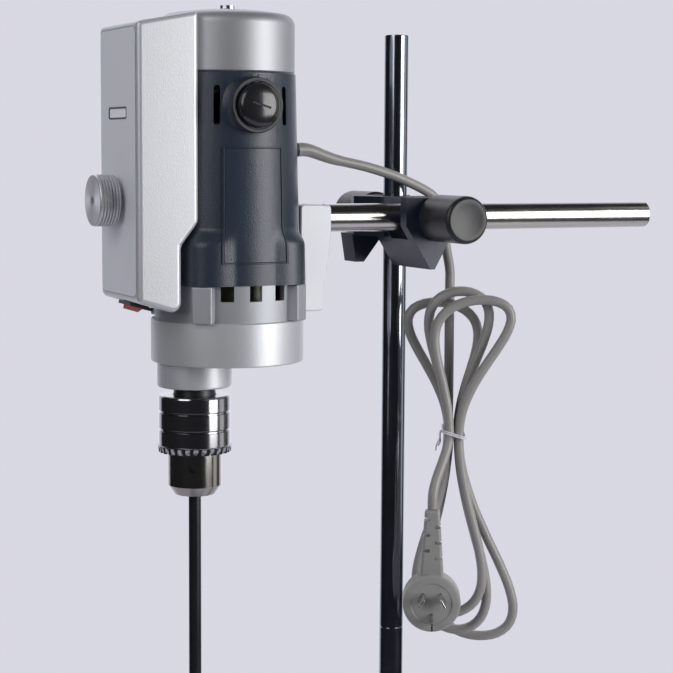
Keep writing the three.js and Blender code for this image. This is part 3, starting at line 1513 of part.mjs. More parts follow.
// Hank: every turn is a bottom loop and a top loop, drawn in at the waist, a pitch nearer the front
const loopBulge = 0.77;

function hankPoint(turn, phase, top) {
  const side = top ? 1 : -1;
  const [heights, widths, shifts] = top
    ? [topLoopHeights, topLoopHalfWidths, topLoopShifts]
    : [bottomLoopHeights, bottomLoopHalfWidths, bottomLoopShifts];
  const swing = (widths[turn] / loopBulge) * Math.sin(2 * phase) * Math.sin(phase);
  const x = side * (runAside * Math.cos(phase) + swing) + shifts[turn] * Math.sin(phase) ** 2;
  const y = hankDepth - hankPitch * (turn + (top ? 0.5 : 0) + phase / (2 * Math.PI));
  return new THREE.Vector3(x, y, side * heights[turn] * Math.sin(phase));
}

function easing(share) {
  return share * share * (3 - 2 * share);
}

function hankLine(perLoop) {
  const points = [];
  const half = perLoop / 2;
  const leadSteps = Math.round(half / 2);
  const straight = cordDiameter;
  points.push(new THREE.Vector3(-runAside, hankDepth + hankLeadBack, hankLead));
  for (let i = 0; i <= leadSteps; i += 1) {
    const share = 1 - i / leadSteps;
    const back = hankLeadBack * easing(share);
    points.push(new THREE.Vector3(-runAside, hankDepth + back, (hankLead - straight) * share));
  }
  for (let turn = 0; turn < hankTurns; turn += 1) {
    [false, true].forEach((top) => {
      for (let i = 1; i <= half; i += 1) {
        points.push(hankPoint(turn, (Math.PI * i) / half, top));
      }
    });
  }
  const tailSteps = Math.round(half / 2);
  for (let i = 1; i <= tailSteps; i += 1) {
    const share = i / tailSteps;
    const ease = easing(share);
    points.push(new THREE.Vector3(
      -runAside - (plugLeft - runAside) * ease,
      -hankDepth - plugAhead * ease,
      -(hankTail - straight) * share));
  }
  points.push(new THREE.Vector3(-plugLeft, -hankDepth - plugAhead, -hankTail));
  return points;
}

// Rings closer together than a third of a diameter are left out, so that no ring cuts the next
function thinned(points, least) {
  const kept = [points[0]];
  points.slice(1, -1).forEach((point) => {
    const fromLast = point.distanceTo(kept[kept.length - 1]);
    if (fromLast > least && point.distanceTo(points[points.length - 1]) > least) {
      kept.push(point);
    }
  });
  kept.push(points[points.length - 1]);
  return kept;
}

function leastSelfGap(points, diameter) {
  const curve = new THREE.CatmullRomCurve3(points, false, "centripetal");
  const count = 1200;
  const fine = curve.getSpacedPoints(count);
  const step = curve.getLength() / count;
  const apart = Math.ceil((3 * diameter) / step);
  let least = Infinity;
  for (let i = 0; i < count; i += 1) {
    for (let j = i + apart; j <= count; j += 1) {
      least = Math.min(least, fine[i].distanceTo(fine[j]));
    }
  }
  console.log("hank mm", curve.getLength().toFixed(0), "least gap mm", (least - diameter).toFixed(2));
  return least - diameter;
}

function makeHank() {
  const points = thinned(hankLine(hankStepsPerLoop), cordDiameter / 2);
  leastSelfGap(points, cordDiameter);
  part(hank, "cord_hank", tubeOnPoints(points, cordDiameter / 2, hankSides), "grey");
  const x = runAside + cordDiameter / 2 + seatGap;
  const y = hankDepth + cordDiameter / 2 + seatGap;
  const half = tieHeight / 2;
  const corner = cordDiameter / 2;
  const outer = roundedRectangle(2 * (x + tieThickness), 2 * (y + tieThickness), corner + tieThickness);
  const inner = roundedRectangle(2 * x, 2 * y, corner);
  const ring = plate(outer, -half, half).subtract(plate(inner, -half - overrun, half + overrun));
  const tail = post(tieThickness, 0, tieTail, 6).rotate([0, 205, 0])
    .translate([-x - tieThickness, -y * 0.6, 0]);
  const hollow = plate(inner, -half - overrun, half + overrun);
  part(hank, "hank_tie", ring.add(tail.subtract(hollow)), "tie");
}

// Plug with a ribbed strain relief, hanging from the hank with its pins to the front
const plug = groupAt(hank, -plugLeft, -hankDepth - plugAhead, -hankTail - seatGap);

function makePlug() {
  const radius = plugDiameter / 2;
  const centre = -reliefLength - radius + plugEdge;
  const step = (reliefLength - 2 * plugEdge) / reliefRibs;
  const ribProfile = [[0, 0], [reliefTop / 2, 0]];
  const radiusAt = (depth) => (reliefTop + (reliefBottom - reliefTop) * (depth / reliefLength)) / 2;
  for (let rib = 0; rib < reliefRibs; rib += 1) {
    const low = plugEdge + step * rib;
    ribProfile.push([radiusAt(low), -low]);
    ribProfile.push([radiusAt(low) - reliefGroove, -low - step * 0.15]);
    ribProfile.push([radiusAt(low) - reliefGroove, -low - step * 0.4]);
    ribProfile.push([radiusAt(low + step * 0.55), -low - step * 0.55]);
  }
  ribProfile.push([reliefBottom / 2, -reliefLength], [reliefBottom / 2, centre], [0, centre]);
  const relief = turned(ribProfile, midSides);
  const half = plugThickness / 2;
  const disc = turned([
    [0, -half],
    [radius - plugEdge, -half],
    [radius, plugEdge - half],
    [radius, half - plugEdge],
    [radius - plugEdge, half],
    [radius - 3 * plugEdge, half],
    [radius - 3 * plugEdge, half - plugEdge / 4],
    [0, half - plugEdge / 4],
  ], fineSides).rotate([90, 0, 0]).translate([0, 0, centre]);
  const face = -half + plugEdge / 4;
  const pins = [
    ["live_pin", -60, pinFromCentre, pinLength, -pinLean],
    ["neutral_pin", 60, pinFromCentre, pinLength, pinLean],
    ["earth_pin", 180, earthPinFromCentre, earthPinLength, 0],
  ];
  const at = (grow, [, turn, reach, length, lean]) => {
    const angle = THREE.MathUtils.degToRad(turn);
    const low = face - (grow ? overrun : length);
    return block(
      [-pinThickness / 2 - grow, low, -pinWidth / 2 - grow],
      [pinThickness / 2 + grow, face + pinRoot + grow, pinWidth / 2 + grow])
      .rotate([0, -lean, 0])
      .translate([reach * Math.sin(angle), 0, centre + reach * Math.cos(angle)]);
  };
  const body = cutAll(relief.add(disc), pins.map((pin) => at(gripGap, pin)));
  part(plug, "plug_body", body, "grey");
  pins.forEach((pin) => part(plug, pin[0], at(0, pin), "brass"));
}

makeMotorHousing();
makeBrushes();
makeCap();
makeStator();
makeArmature();
makeFlange();
makeGearHousing();
makeHousingScrews();
makeSpindle();
makeChuck();
makeSleeve();
makeRod();
makeControlBox();
makeFrontPlate();
makeSpeedKnob();
makeSwitch();
makeBracket();
makeClamp();
makeGland();
makeCord();
makeHank();
makePlug();

export default stirrer;
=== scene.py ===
"""An overhead laboratory stirrer on its stand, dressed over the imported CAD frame.

Sizes are in millimetres from the motor's axis and the table, and are turned
into the row frame's metres when a mesh is made.
"""

from math import asin, atan2, cos, pi, radians, sin, sqrt, tan

import bmesh
import bpy
from mathutils import Matrix, Vector


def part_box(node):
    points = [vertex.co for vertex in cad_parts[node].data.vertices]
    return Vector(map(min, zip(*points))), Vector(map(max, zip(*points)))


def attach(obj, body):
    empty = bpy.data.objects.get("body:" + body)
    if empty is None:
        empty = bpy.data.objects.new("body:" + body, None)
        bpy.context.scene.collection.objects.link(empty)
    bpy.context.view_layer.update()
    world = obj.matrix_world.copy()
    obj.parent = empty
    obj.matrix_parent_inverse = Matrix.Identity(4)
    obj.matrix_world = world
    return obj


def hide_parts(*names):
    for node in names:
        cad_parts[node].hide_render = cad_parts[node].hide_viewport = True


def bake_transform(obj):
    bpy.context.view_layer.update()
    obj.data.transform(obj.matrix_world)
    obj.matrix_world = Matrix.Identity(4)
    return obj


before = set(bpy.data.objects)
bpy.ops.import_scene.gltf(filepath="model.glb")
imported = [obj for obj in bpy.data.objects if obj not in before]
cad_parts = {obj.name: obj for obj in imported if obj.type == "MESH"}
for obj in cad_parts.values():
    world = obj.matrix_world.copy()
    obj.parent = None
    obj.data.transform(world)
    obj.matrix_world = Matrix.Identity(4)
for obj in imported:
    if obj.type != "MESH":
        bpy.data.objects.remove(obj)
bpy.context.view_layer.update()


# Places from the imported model
def middle(node):
    return [(a + b) / 2 for a, b in zip(*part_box(node))]


MM = 0.001
GAP = 0.3
UPRIGHT = Matrix(((1, 0, 0, 0), (0, 0, 1, 0), (0, 1, 0, 0), (0, 0, 0, 1)))
MOTOR = Vector((*middle("motor_cap")[:2], 0))


def low_of(node, axis=2):
    """A node's lowest place along an axis, in millimetres from the motor's axis."""
    return (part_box(node)[0][axis] - MOTOR[axis]) / MM


def high_of(node, axis=2):
    return (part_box(node)[1][axis] - MOTOR[axis]) / MM


FLANGE_LOW = low_of("motor_flange")
FLANGE_HIGH = high_of("motor_flange")
SEAM = low_of("motor_cap")
CAP_TOP = high_of("motor_cap")
GEAR_LOW = FLANGE_LOW - 26.5
BOSS_LOW = low_of("gear_housing")
OUTPUT_X = -22
POLE_X, POLE_Y = 135, 33
BAR_Z = FLANGE_HIGH + 38.5
PANEL_FACE = low_of("front_plate", 0)
PLATE_RIM = 3.2
PANEL_LOW = low_of("front_plate") - PLATE_RIM
PANEL_HIGH = high_of("front_plate") + PLATE_RIM
PLATE_TOP = high_of("base_plate")


def above(node):
    return move(*[(m - o) / MM for m, o in zip(middle(node)[:2], MOTOR)])


# Meshes
def smooth(mesh, angle=32):
    mesh.shade_smooth()
    mesh.set_sharp_from_angle(angle=radians(angle))


def link(name, data):
    obj = bpy.data.objects.new(name, data)
    bpy.context.scene.collection.objects.link(obj)
    return obj


def from_bmesh(name, bm, matrix=Matrix()):
    """Millimetres about the motor's axis become metres in the row frame."""
    bmesh.ops.remove_doubles(bm, verts=bm.verts, dist=1e-5)
    bmesh.ops.recalc_face_normals(bm, faces=bm.faces)
    mesh = bpy.data.meshes.new(name)
    bm.to_mesh(mesh)
    bm.free()
    mesh.transform(Matrix.Translation(MOTOR) @ Matrix.Scale(MM, 4) @ matrix)
    smooth(mesh)
    return link(name, mesh)


def move(x=0, y=0, z=0):
    return Matrix.Translation((x, y, z))


def turn(degrees, axis):
    return Matrix.Rotation(radians(degrees), 4, axis)


def turns(sides):
    return [2 * pi * i / sides for i in range(sides)]


def row(bm, angles, height, radius_at):
    """Points about Z at the angles; radius_at gives the radius at each."""
    radii = [radius_at(a) for a in angles]
    return [bm.verts.new((r * cos(a), r * sin(a), height)) for r, a in zip(radii, angles)]


def bridge(bm, rings, sides):
    """Faces between each ring and the next, where a ring may be a single point."""
    for one, other in zip(rings, rings[1:]):
        for i in range(sides):
            j = (i + 1) % sides
            corners = [one[i % len(one)], one[j % len(one)], other[j % len(other)], other[i % len(other)]]
            corners = list(dict.fromkeys(corners))
            if len(corners) > 2:
                bm.faces.new(corners)


def lathe(name, profile, matrix=Matrix(), sides=96, radius_at=lambda radius, z, angle: radius):
    """Turns a profile of (radius, height) about Z, from axis to axis or closed on itself."""
    if profile[0][0]:
        profile = [*profile, profile[0]]
    bm = bmesh.new()
    bridge(bm, [row(bm, turns(sides) if radius else [0], z, lambda a: radius_at(radius, z, a))
                for radius, z in profile], sides)
    return from_bmesh(name, bm, matrix)


def off(radius, height, *steps):
    """Profile points, each a step inward and a step down from one corner."""
    return [(radius - inward, height - down) for inward, down in steps]


def prism(name, outline, low, high, matrix=Matrix()):
    """A flat outline in X and Y, raised from low to high."""
    bm = bmesh.new()
    bottom, top = [[bm.verts.new((x, y, z)) for x, y in outline] for z in (low, high)]
    bm.faces.new(bottom[::-1])
    bm.faces.new(top)
    bridge(bm, [bottom, top], len(outline))
    return from_bmesh(name, bm, matrix)


def box(name, low, high, matrix=Matrix()):
    outline = [(low[0], low[1]), (high[0], low[1]), (high[0], high[1]), (low[0], high[1])]
    return prism(name, outline, low[2], high[2], matrix)


def rod(name, radius, low, high, matrix=Matrix(), sides=48):
    return lathe(name, [(0, low), (radius, low), (radius, high), (0, high)], matrix, sides)


def arc(centre, radius, start, end, steps=8):
    angles = [radians(start + (end - start) * i / steps) for i in range(steps + 1)]
    return [(centre[0] + radius * cos(a), centre[1] + radius * sin(a)) for a in angles]


def rounded(width, depth, radius, steps=8):
    x, y = width / 2 - radius, depth / 2 - radius
    corners = enumerate(((x, y), (-x, y), (-x, -y), (x, -y)))
    return [p for k, corner in corners for p in arc(corner, radius, 90 * k, 90 * k + 90, steps)]


def round_corners(outline, radius, steps=5):
    """Each corner of an outline becomes a short curve through its neighbourhood."""
    points = []
    for i, corner in enumerate(outline):
        here = Vector(corner)
        before = Vector(outline[i - 1]) - here
        after = Vector(outline[(i + 1) % len(outline)]) - here
        reach = min(radius, before.length * 0.45, after.length * 0.45)
        one, other = here + before.normalized() * reach, here + after.normalized() * reach
        for k in range(steps + 1):
            t = k / steps
            points.append(tuple(one * (1 - t) ** 2 + here * 2 * t * (1 - t) + other * t ** 2))
    return points


def applied(obj):
    """Bakes an object's modifiers into its mesh."""
    evaluated = obj.evaluated_get(bpy.context.evaluated_depsgraph_get())
    old = obj.data
    obj.data = bpy.data.meshes.new_from_object(evaluated)
    obj.modifiers.clear()
    bpy.data.meshes.remove(old)


def combine(obj, operation, others):
    for other in others:
        boolean = obj.modifiers.new("boolean", "BOOLEAN")
        boolean.operation = operation
        boolean.solver = "EXACT"
        boolean.object = other
        applied(obj)
        bpy.data.objects.remove(other)
    smooth(obj.data)


def cut(obj, *others):
    combine(obj, "DIFFERENCE", others)


def join(obj, *others):
    combine(obj, "UNION", others)


def add_bevel(obj, width, segments, angle=35):
    """Rounds the edges sharper than an angle by a width in millimetres."""
    bevel = obj.modifiers.new("bevel", "BEVEL")
    bevel.width = width * MM
    bevel.segments = segments
    bevel.limit_method = "ANGLE"
    bevel.angle_limit = radians(angle)
    return bevel


def soften(obj, width, segments=3, angle=35):
    add_bevel(obj, width, segments, angle).harden_normals = True
    applied(obj)


def paint(obj, material):
    obj.data.materials.clear()
    obj.data.materials.append(material)


def dress(obj, material, body, slot, *nodes):
    """Gives a piece its material, its body and the CAD nodes it stands for; the slot is not used."""
    # Large flat faces keep their own normals, so that only the rounded edges shade
    obj.modifiers.new("level", "WEIGHTED_NORMAL").keep_sharp = True
    applied(obj)
    paint(obj, material)
    if body:
        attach(obj, body)
    if nodes:
        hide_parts(*nodes)


def keep(node, material, width=0.0):
    """A CAD node whose shape is right keeps it, with softer edges and a better material."""
    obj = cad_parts[node]
    paint(obj, material)
    if width:
        add_bevel(obj, width, 2)


# Materials
def fill(node, inputs):
    """Sets a node's inputs, each from a value or from another node's socket."""
    for key, value in inputs.items():
        if isinstance(value, bpy.types.NodeSocket):
            node.id_data.links.new(value, node.inputs[key])
        else:
            node.inputs[key].default_value = value


def add(tree, kind, inputs):
    node = tree.nodes.new("ShaderNode" + kind)
    fill(node, inputs)
    return node


def reckon(tree, operation, *values):
    """The result of a sum over values or sockets."""
    node = tree.nodes.new("ShaderNodeMath")
    node.operation = operation
    fill(node, dict(enumerate(values)))
    return node.outputs[0]


COAT_ROUGHNESS = 0.08
LEAST_ROUGHNESS = 0.02
GRAIN_DETAIL, PATCH_DETAIL = 4, 6
GRAIN_BUMP, RING_BUMP = 0.6, 0.5
TURNED_ANISOTROPY = 0.8


def surface(name, colour, roughness, metallic, grain, depth, variation=0.06,
            stretch=(1, 1, 1), spread=0.06, coat=0.0, patches=30, rings=0.0):
    """A procedural surface: broad patches of tone, a fine grain in bump and gloss, and wear in roughness.

    grain and patches are features per metre, depth is the grain's in millimetres, variation the
    tone's share, and stretch draws the grain out along an axis.
    """
    material = bpy.data.materials.new(name)
    material.use_nodes = True
    tree = material.node_tree
    where = add(tree, "TexCoord", {}).outputs["Object"]
    scaled = add(tree, "Mapping", {"Scale": stretch, "Vector": where}).outputs["Vector"]
    fine = add(tree, "TexNoise", {"Scale": grain, "Detail": GRAIN_DETAIL, "Vector": scaled}).outputs["Fac"]
    broad = add(tree, "TexNoise", {"Scale": patches, "Detail": PATCH_DETAIL, "Vector": where}).outputs["Fac"]

    tone = tree.nodes.new("ShaderNodeMix")
    tone.data_type = "RGBA"
    fill(tone, {
        "A": (*[c * (1 - variation) for c in colour], 1),
        "B": (*[min(1, c * (1 + variation)) for c in colour], 1),
        "Factor": reckon(tree, "MULTIPLY_ADD", fine, 0.5, reckon(tree, "MULTIPLY", broad, 0.5))})
    gloss = add(tree, "MapRange", {
        "To Min": max(LEAST_ROUGHNESS, roughness - spread), "To Max": roughness + spread, "Value": broad})
    bump = add(tree, "Bump", {"Strength": GRAIN_BUMP, "Distance": depth * MM, "Height": fine})
    if rings:
        wave = tree.nodes.new("ShaderNodeTexNoise")
        wave.noise_dimensions = "1D"
        fill(wave, {"Scale": rings, "W": add(tree, "SeparateXYZ", {"Vector": where}).outputs["Z"]})
        bump = add(tree, "Bump", {"Strength": RING_BUMP, "Distance": depth * MM,
            "Height": wave.outputs["Fac"], "Normal": bump.outputs["Normal"]})
    fill(tree.nodes["Principled BSDF"], {
        "Base Color": tone.outputs["Result"], "Metallic": metallic, "Roughness": gloss.outputs["Result"],
        "Normal": bump.outputs["Normal"], "Coat Weight": coat, "Coat Roughness": COAT_ROUGHNESS})
    return material


def brushed_round(material):
    """Fine turning marks round the X axis, which draw the highlights out across them."""
    around = add(material.node_tree, "Tangent", {})
    around.direction_type = "RADIAL"
    around.axis = "X"
    fill(material.node_tree.nodes["Principled BSDF"],
         {"Anisotropic": TURNED_ANISOTROPY, "Tangent": around.outputs["Tangent"]})
    return material


# Name, colour, roughness, metallic, grain, depth and variation
SILVER = surface("silver_paint", (0.66, 0.67, 0.70), 0.42, 0.45, 1000, 0.15, 0.05, patches=14)
CAP = surface("cap_silver", (0.46, 0.465, 0.49), 0.5, 0.65, 1500, 0.03, stretch=(1, 1, 3), patches=14)
# The front plate's silver is paler than the box's silver paint: painted light on the front face, which the
# lamps light less than the side
LIT_PANEL_PAINT = surface("panel_silver_painted_light", (0.80, 0.82, 0.87), 0.5, 0.25, 2600, 0.03, patches=14)
CAST = surface("cast_silver", (0.44, 0.455, 0.485), 0.5, 0.5, 1300, 0.05, 0.08, patches=40)
WHITE = surface("white_paint", (0.84, 0.85, 0.89), 0.42, 0.1, 1200, 0.04)
NAVY = surface("navy_plastic", (0.03, 0.041, 0.064), 0.31, 0, 1300, 0.28, 0.15)
LABEL = surface("label_film", (0.032, 0.044, 0.068), 0.3, 0, 1300, 0.28, 0.12)
CLAMP = surface("navy_paint", (0.02, 0.028, 0.052), 0.46, 0, 700, 0.08, 0.15, coat=0.05)
BLACK = surface("black_plastic", (0.02, 0.021, 0.024), 0.38, 0, 1800, 0.05, 0.2)
GLOSSY = surface("black_gloss", (0.018, 0.018, 0.021), 0.22, 0, 900, 0.01, 0.2, coat=0.3)
CHROME = surface("chrome", (0.44, 0.44, 0.46), 0.15, 1, 500, 0.004, 0.04, spread=0.04)
NICKEL = surface("nickel", (0.42, 0.40, 0.375), 0.16, 1, 900, 0.006, 0.05, spread=0.05)
POLE = surface("pole_chrome", (0.30, 0.33, 0.38), 0.15, 1, 1200, 0.012, 0.18,
               stretch=(1, 1, 0.06), spread=0.07, patches=60)
STAINLESS = surface("stainless", (0.58, 0.56, 0.53), 0.22, 1, 2400, 0.003, 0.08, stretch=(0.05, 1, 1))
STEEL = surface("turned_steel", (0.45, 0.45, 0.47), 0.28, 1, 1500, 0.01, rings=3000)
DARK_ROD = surface("dark_rod", (0.085, 0.088, 0.105), 0.24, 0.85, 1400, 0.02, 0.2, stretch=(1, 1, 0.08))
RED = surface("red_plastic", (0.5, 0.01, 0.007), 0.42, 0, 600, 0.01)
GREY = surface("cord_grey", (0.335, 0.325, 0.315), 0.36, 0, 1500, 0.03, 0.08)
PLUG = surface("plug_grey", (0.33, 0.325, 0.32), 0.42, 0, 1300, 0.04, 0.08)
PIN = surface("pin_metal", (0.62, 0.61, 0.59), 0.27, 1, 1500, 0.02, 0.15)
TIE = surface("white_tie", (0.72, 0.73, 0.75), 0.35, 0, 800, 0.02)
RUBBER = surface("black_rubber", (0.025, 0.025, 0.027), 0.7, 0, 1800, 0.08, 0.2)
PLATE = surface("plate_paint", (0.42, 0.43, 0.46), 0.6, 0.25, 1300, 0.08, patches=18)
SCREEN = surface("screen", (0.72, 0.75, 0.84), 0.22, 0, 500, 0.004, 0.04, coat=0.5)
COPPER = surface("windings", (0.10, 0.105, 0.07), 0.4, 0.6, 1600, 0.08, 0.2, stretch=(1, 1, 6))
CARBON = surface("carbon", (0.03, 0.03, 0.03), 0.6, 0, 2200, 0.05, 0.25)
BOARD = surface("board_green", (0.03, 0.12, 0.06), 0.35, 0, 700, 0.03, 0.2)
KNOB = brushed_round(surface("knob_silver", (0.70, 0.70, 0.72), 0.32, 0.7, 1800, 0.012, spread=0.05))


# Motor cap
CAP_RADIUS = 41.4
CAP_CROWN = 3
CAP_ROUND = 7
CAP_WALL = 2.5
CAP_LIP = 0.8
CROWN_STEPS = 8


def make_cap():
    shoulder = CAP_TOP - CAP_CROWN
    corner = arc((CAP_RADIUS - CAP_ROUND, shoulder - CAP_ROUND), CAP_ROUND, 0, 80, 10)
    edge, fall = corner[-1][0], CAP_TOP - corner[-1][1]
    shares = [1 - i / CROWN_STEPS for i in range(1, CROWN_STEPS + 1)]
    inside = CAP_RADIUS - CAP_WALL
    cap = lathe("cap_shell", [
        (inside, SEAM), (CAP_RADIUS - CAP_LIP, SEAM), (CAP_RADIUS, SEAM + CAP_LIP), *corner,
        *[(edge * share, CAP_TOP - fall * share ** 2) for share in shares],
        (0, shoulder - CAP_WALL), (CAP_RADIUS - CAP_ROUND, shoulder - CAP_WALL),
        (inside, shoulder - CAP_ROUND)])
    dress(cap, CAP, "head", "silver_paint", "motor_cap")


# Motor housing: a drawn tube with a lobed skirt, brush bosses, air slots and a label field
MOTOR_RADIUS = 42
MOTOR_DRAFT = 3.2
MOTOR_WALL = 3
SKIRT_HEIGHT = 24
SKIRT_FLARE = 11
LOBE_REACH = 6.8
LOBE_SPREAD = radians(25)
LOBE_ANGLES = [radians(a) for a in (50, 130, 230, 310)]
SKIRT_TOP = FLANGE_HIGH + SKIRT_HEIGHT
BRUSH_Z = SEAM - 20
BOSS_RADIUS = 16.5
BOSS_FACE = MOTOR_RADIUS + 5
BOSS_EDGE = 1.2
BOSS_BORE = 13.5
BRUSH_CAP_RADIUS, SLOT_ANGLE = 13.2, -17
MOTOR_BORE = MOTOR_RADIUS - MOTOR_WALL
VENT_ANGLE, VENT_WIDTH, VENT_LENGTH = 31, 4, 23.5
HOUSING_SIDES = 160
LABEL_WIDTH, LABEL_RIM = 37, 1
LABEL_LOW, LABEL_HIGH = FLANGE_HIGH + 13, FLANGE_HIGH + 83


def lobe_share(angle):
    away = min(abs(angle - lobe) for lobe in LOBE_ANGLES)
    return cos(away / LOBE_SPREAD * pi / 2) ** 1.4 if away < LOBE_SPREAD else 0


def housing_radius(z, angle):
    wall = MOTOR_RADIUS + MOTOR_DRAFT * (SEAM - z) / (SEAM - FLANGE_HIGH)
    rise = (z - SKIRT_TOP) / SKIRT_FLARE
    share = 1 if rise < 0 else 0 if rise > 1 else 0.5 + 0.5 * cos(pi * rise)
    return wall + LOBE_REACH * lobe_share(angle) * share


def patch(name, inner, outer, width, low, high, steps=24):
    """A skin over the housing's near side, between two reaches from its surface."""
    half = asin(width / 2 / MOTOR_RADIUS)
    bm = bmesh.new()
    angles = [1.5 * pi - half + 2 * half * i / steps for i in range(steps + 1)]
    heights = [low + (high - low) * k / steps for k in range(steps + 1)]
    back, front = [[row(bm, angles, z, lambda a: housing_radius(z, a) + reach) for z in heights]
                   for reach in (inner, outer)]
    for rows in (back, front):
        for one, other in zip(rows, rows[1:]):
            for i in range(steps):
                bm.faces.new([one[i], one[i + 1], other[i + 1], other[i]])
    for k in range(steps):
        for one, other in ((back, front), (list(zip(*back)), list(zip(*front)))):
            for end in (0, -1):
                bm.faces.new([one[k][end], one[k + 1][end], other[k + 1][end], other[k][end]])
    return from_bmesh(name, bm)


def make_housing():
    heights = [
        FLANGE_HIGH, FLANGE_HIGH + 0.6, SKIRT_TOP - 1, *[SKIRT_TOP + SKIRT_FLARE * i / 8 for i in range(9)],
        BRUSH_Z - 2 * BOSS_RADIUS, BRUSH_Z, SEAM - 0.6]
    bm = bmesh.new()
    angles = turns(HOUSING_SIDES)
    rings = [row(bm, angles, z, lambda a: housing_radius(z, a)) for z in heights]
    rings += [row(bm, angles, z, lambda a: radius)
              for radius, z in ((MOTOR_RADIUS - 0.5, SEAM), (MOTOR_BORE, SEAM), (MOTOR_BORE, FLANGE_HIGH))]
    bridge(bm, rings + rings[:1], HOUSING_SIDES)
    housing = from_bmesh("motor_shell", bm)

    for side in (-1, 1):
        faced = move(0, 0, BRUSH_Z) @ turn(-90 * side, "X")
        join(housing, lathe("boss", [
            (0, MOTOR_BORE), (BOSS_RADIUS + 3, MOTOR_BORE),
            *off(BOSS_RADIUS, MOTOR_RADIUS, (-1.2, 1), (0, -1)),
            *off(BOSS_RADIUS, BOSS_FACE, (0, BOSS_EDGE), (BOSS_EDGE, 0)), (0, BOSS_FACE)], faced, 64))
        cut(housing, rod("bore", BOSS_BORE, MOTOR_BORE - 1, BOSS_FACE + 5, faced, 64))
        for way in (-1, 1):
            place = turn(way * VENT_ANGLE + (180 if side < 0 else 0), "Z")
            place = place @ move(0, MOTOR_RADIUS, BRUSH_Z) @ turn(90, "X")
            outline = rounded(VENT_WIDTH, VENT_LENGTH, VENT_WIDTH / 2 - 0.02, 6)
            cut(housing, prism("slot", outline, -2 * MOTOR_WALL, 2 * MOTOR_WALL, place))
    soften(housing, 0.4, 2)
    smooth(housing.data, 28)
    dress(housing, NAVY, "head", "navy_plastic", "motor_housing")


def make_labels():
    """The raised fields on the housing's near and far sides, each with its rim."""
    inner = (LABEL_WIDTH - 2 * LABEL_RIM, LABEL_LOW + LABEL_RIM, LABEL_HIGH - LABEL_RIM)
    centre = Matrix.Translation(MOTOR)
    for side, turned in (("near", 0), ("far", 180)):
        rim = patch(f"label_frame_{side}", -1, 0.9, LABEL_WIDTH, LABEL_LOW, LABEL_HIGH)
        cut(rim, patch("inner", -2, 2, *inner))
        face = patch(f"label_face_{side}", -1, 0.25, *inner)
        for obj, material in ((rim, CLAMP), (face, LABEL)):
            if turned:
                obj.data.transform(centre @ turn(turned, "Z") @ centre.inverted())
            soften(obj, 0.25, 2)
            dress(obj, material, "head", "navy_plastic")


def make_brush_caps():
    radius, back, face = BRUSH_CAP_RADIUS, MOTOR_BORE + GAP, BOSS_FACE + 7
    for name, side in (("near", -1), ("far", 1)):
        faced = move(0, 0, BRUSH_Z) @ turn(-90 * side, "X")
        cap = lathe(f"brush_screw_{name}", [
            (0, back), (radius, back), (radius, face - 4.6),
            *off(radius, face, (0.3, 3.6), (1, 2.6), (2.2, 1.7), (4, 1), (7, 0.35)), (0, face)], faced, 64)
        cut(cap, box("slot", (-6, -0.6, face - 1.2), (6, 0.6, face + 1), faced @ turn(SLOT_ANGLE, "Z")))
        soften(cap, 0.35, 2)
        dress(cap, GLOSSY, "head", "black_plastic", f"brush_cap_{name}")
        ring = lathe(f"brush_ring_{name}", [
            (radius + 0.4, MOTOR_RADIUS + 1),
            *off(radius, BOSS_FACE, (-3.4, 0.6), (-2.8, -0.5), (-1.2, -0.5), (-0.4, 0.4))], faced, 64)
        dress(ring, BLACK, "head", "black_plastic")


# Flange with three air windows on each side, and the gear housing under it
FLANGE_RADIUS = 45
FLANGE_WALL = 4
FLANGE_FLOOR = 5
WINDOW_ANGLE = 22.5
GEAR_RADIUS = 47.5
LOBE_FACE, LOBE_HALF = 51.4, 6.25
WINDOW_HALF, WINDOW_LOW = 4, FLANGE_HIGH - 9.5
GEAR_WALL, GEAR_FLOOR = 3.5, 6
GEAR_EDGE = 1
OUTLET_RADIUS = 23
SPINDLE_WAY = 6.6
SCREW_CIRCLE = 42


def make_flange():
    inner = FLANGE_RADIUS - FLANGE_WALL
    floor = FLANGE_LOW + FLANGE_FLOOR
    flange = lathe("flange_ring", [
        (0, FLANGE_LOW), (FLANGE_RADIUS, FLANGE_LOW), (FLANGE_RADIUS, FLANGE_HIGH),
        (inner, FLANGE_HIGH), (inner, floor), (0, floor)], sides=128)
    for angle in LOBE_ANGLES:
        low, high = (inner - 1, -LOBE_HALF, FLANGE_LOW), (LOBE_FACE, LOBE_HALF, FLANGE_HIGH)
        lobe = box("lobe", low, high, Matrix.Rotation(angle, 4, "Z"))
        soften(lobe, 1.1, 3)
        join(flange, lobe)
    low, high = (inner - 3, -WINDOW_HALF, WINDOW_LOW), (FLANGE_RADIUS + 2, WINDOW_HALF, FLANGE_HIGH + 1)
    for side in (90, 270):
        for swing in (-WINDOW_ANGLE, 0, WINDOW_ANGLE):
            cut(flange, box("window", low, high, turn(side + swing, "Z")))
    soften(flange, 0.4, 2)
    dress(flange, CAST, "head", "silver_paint", "motor_flange")


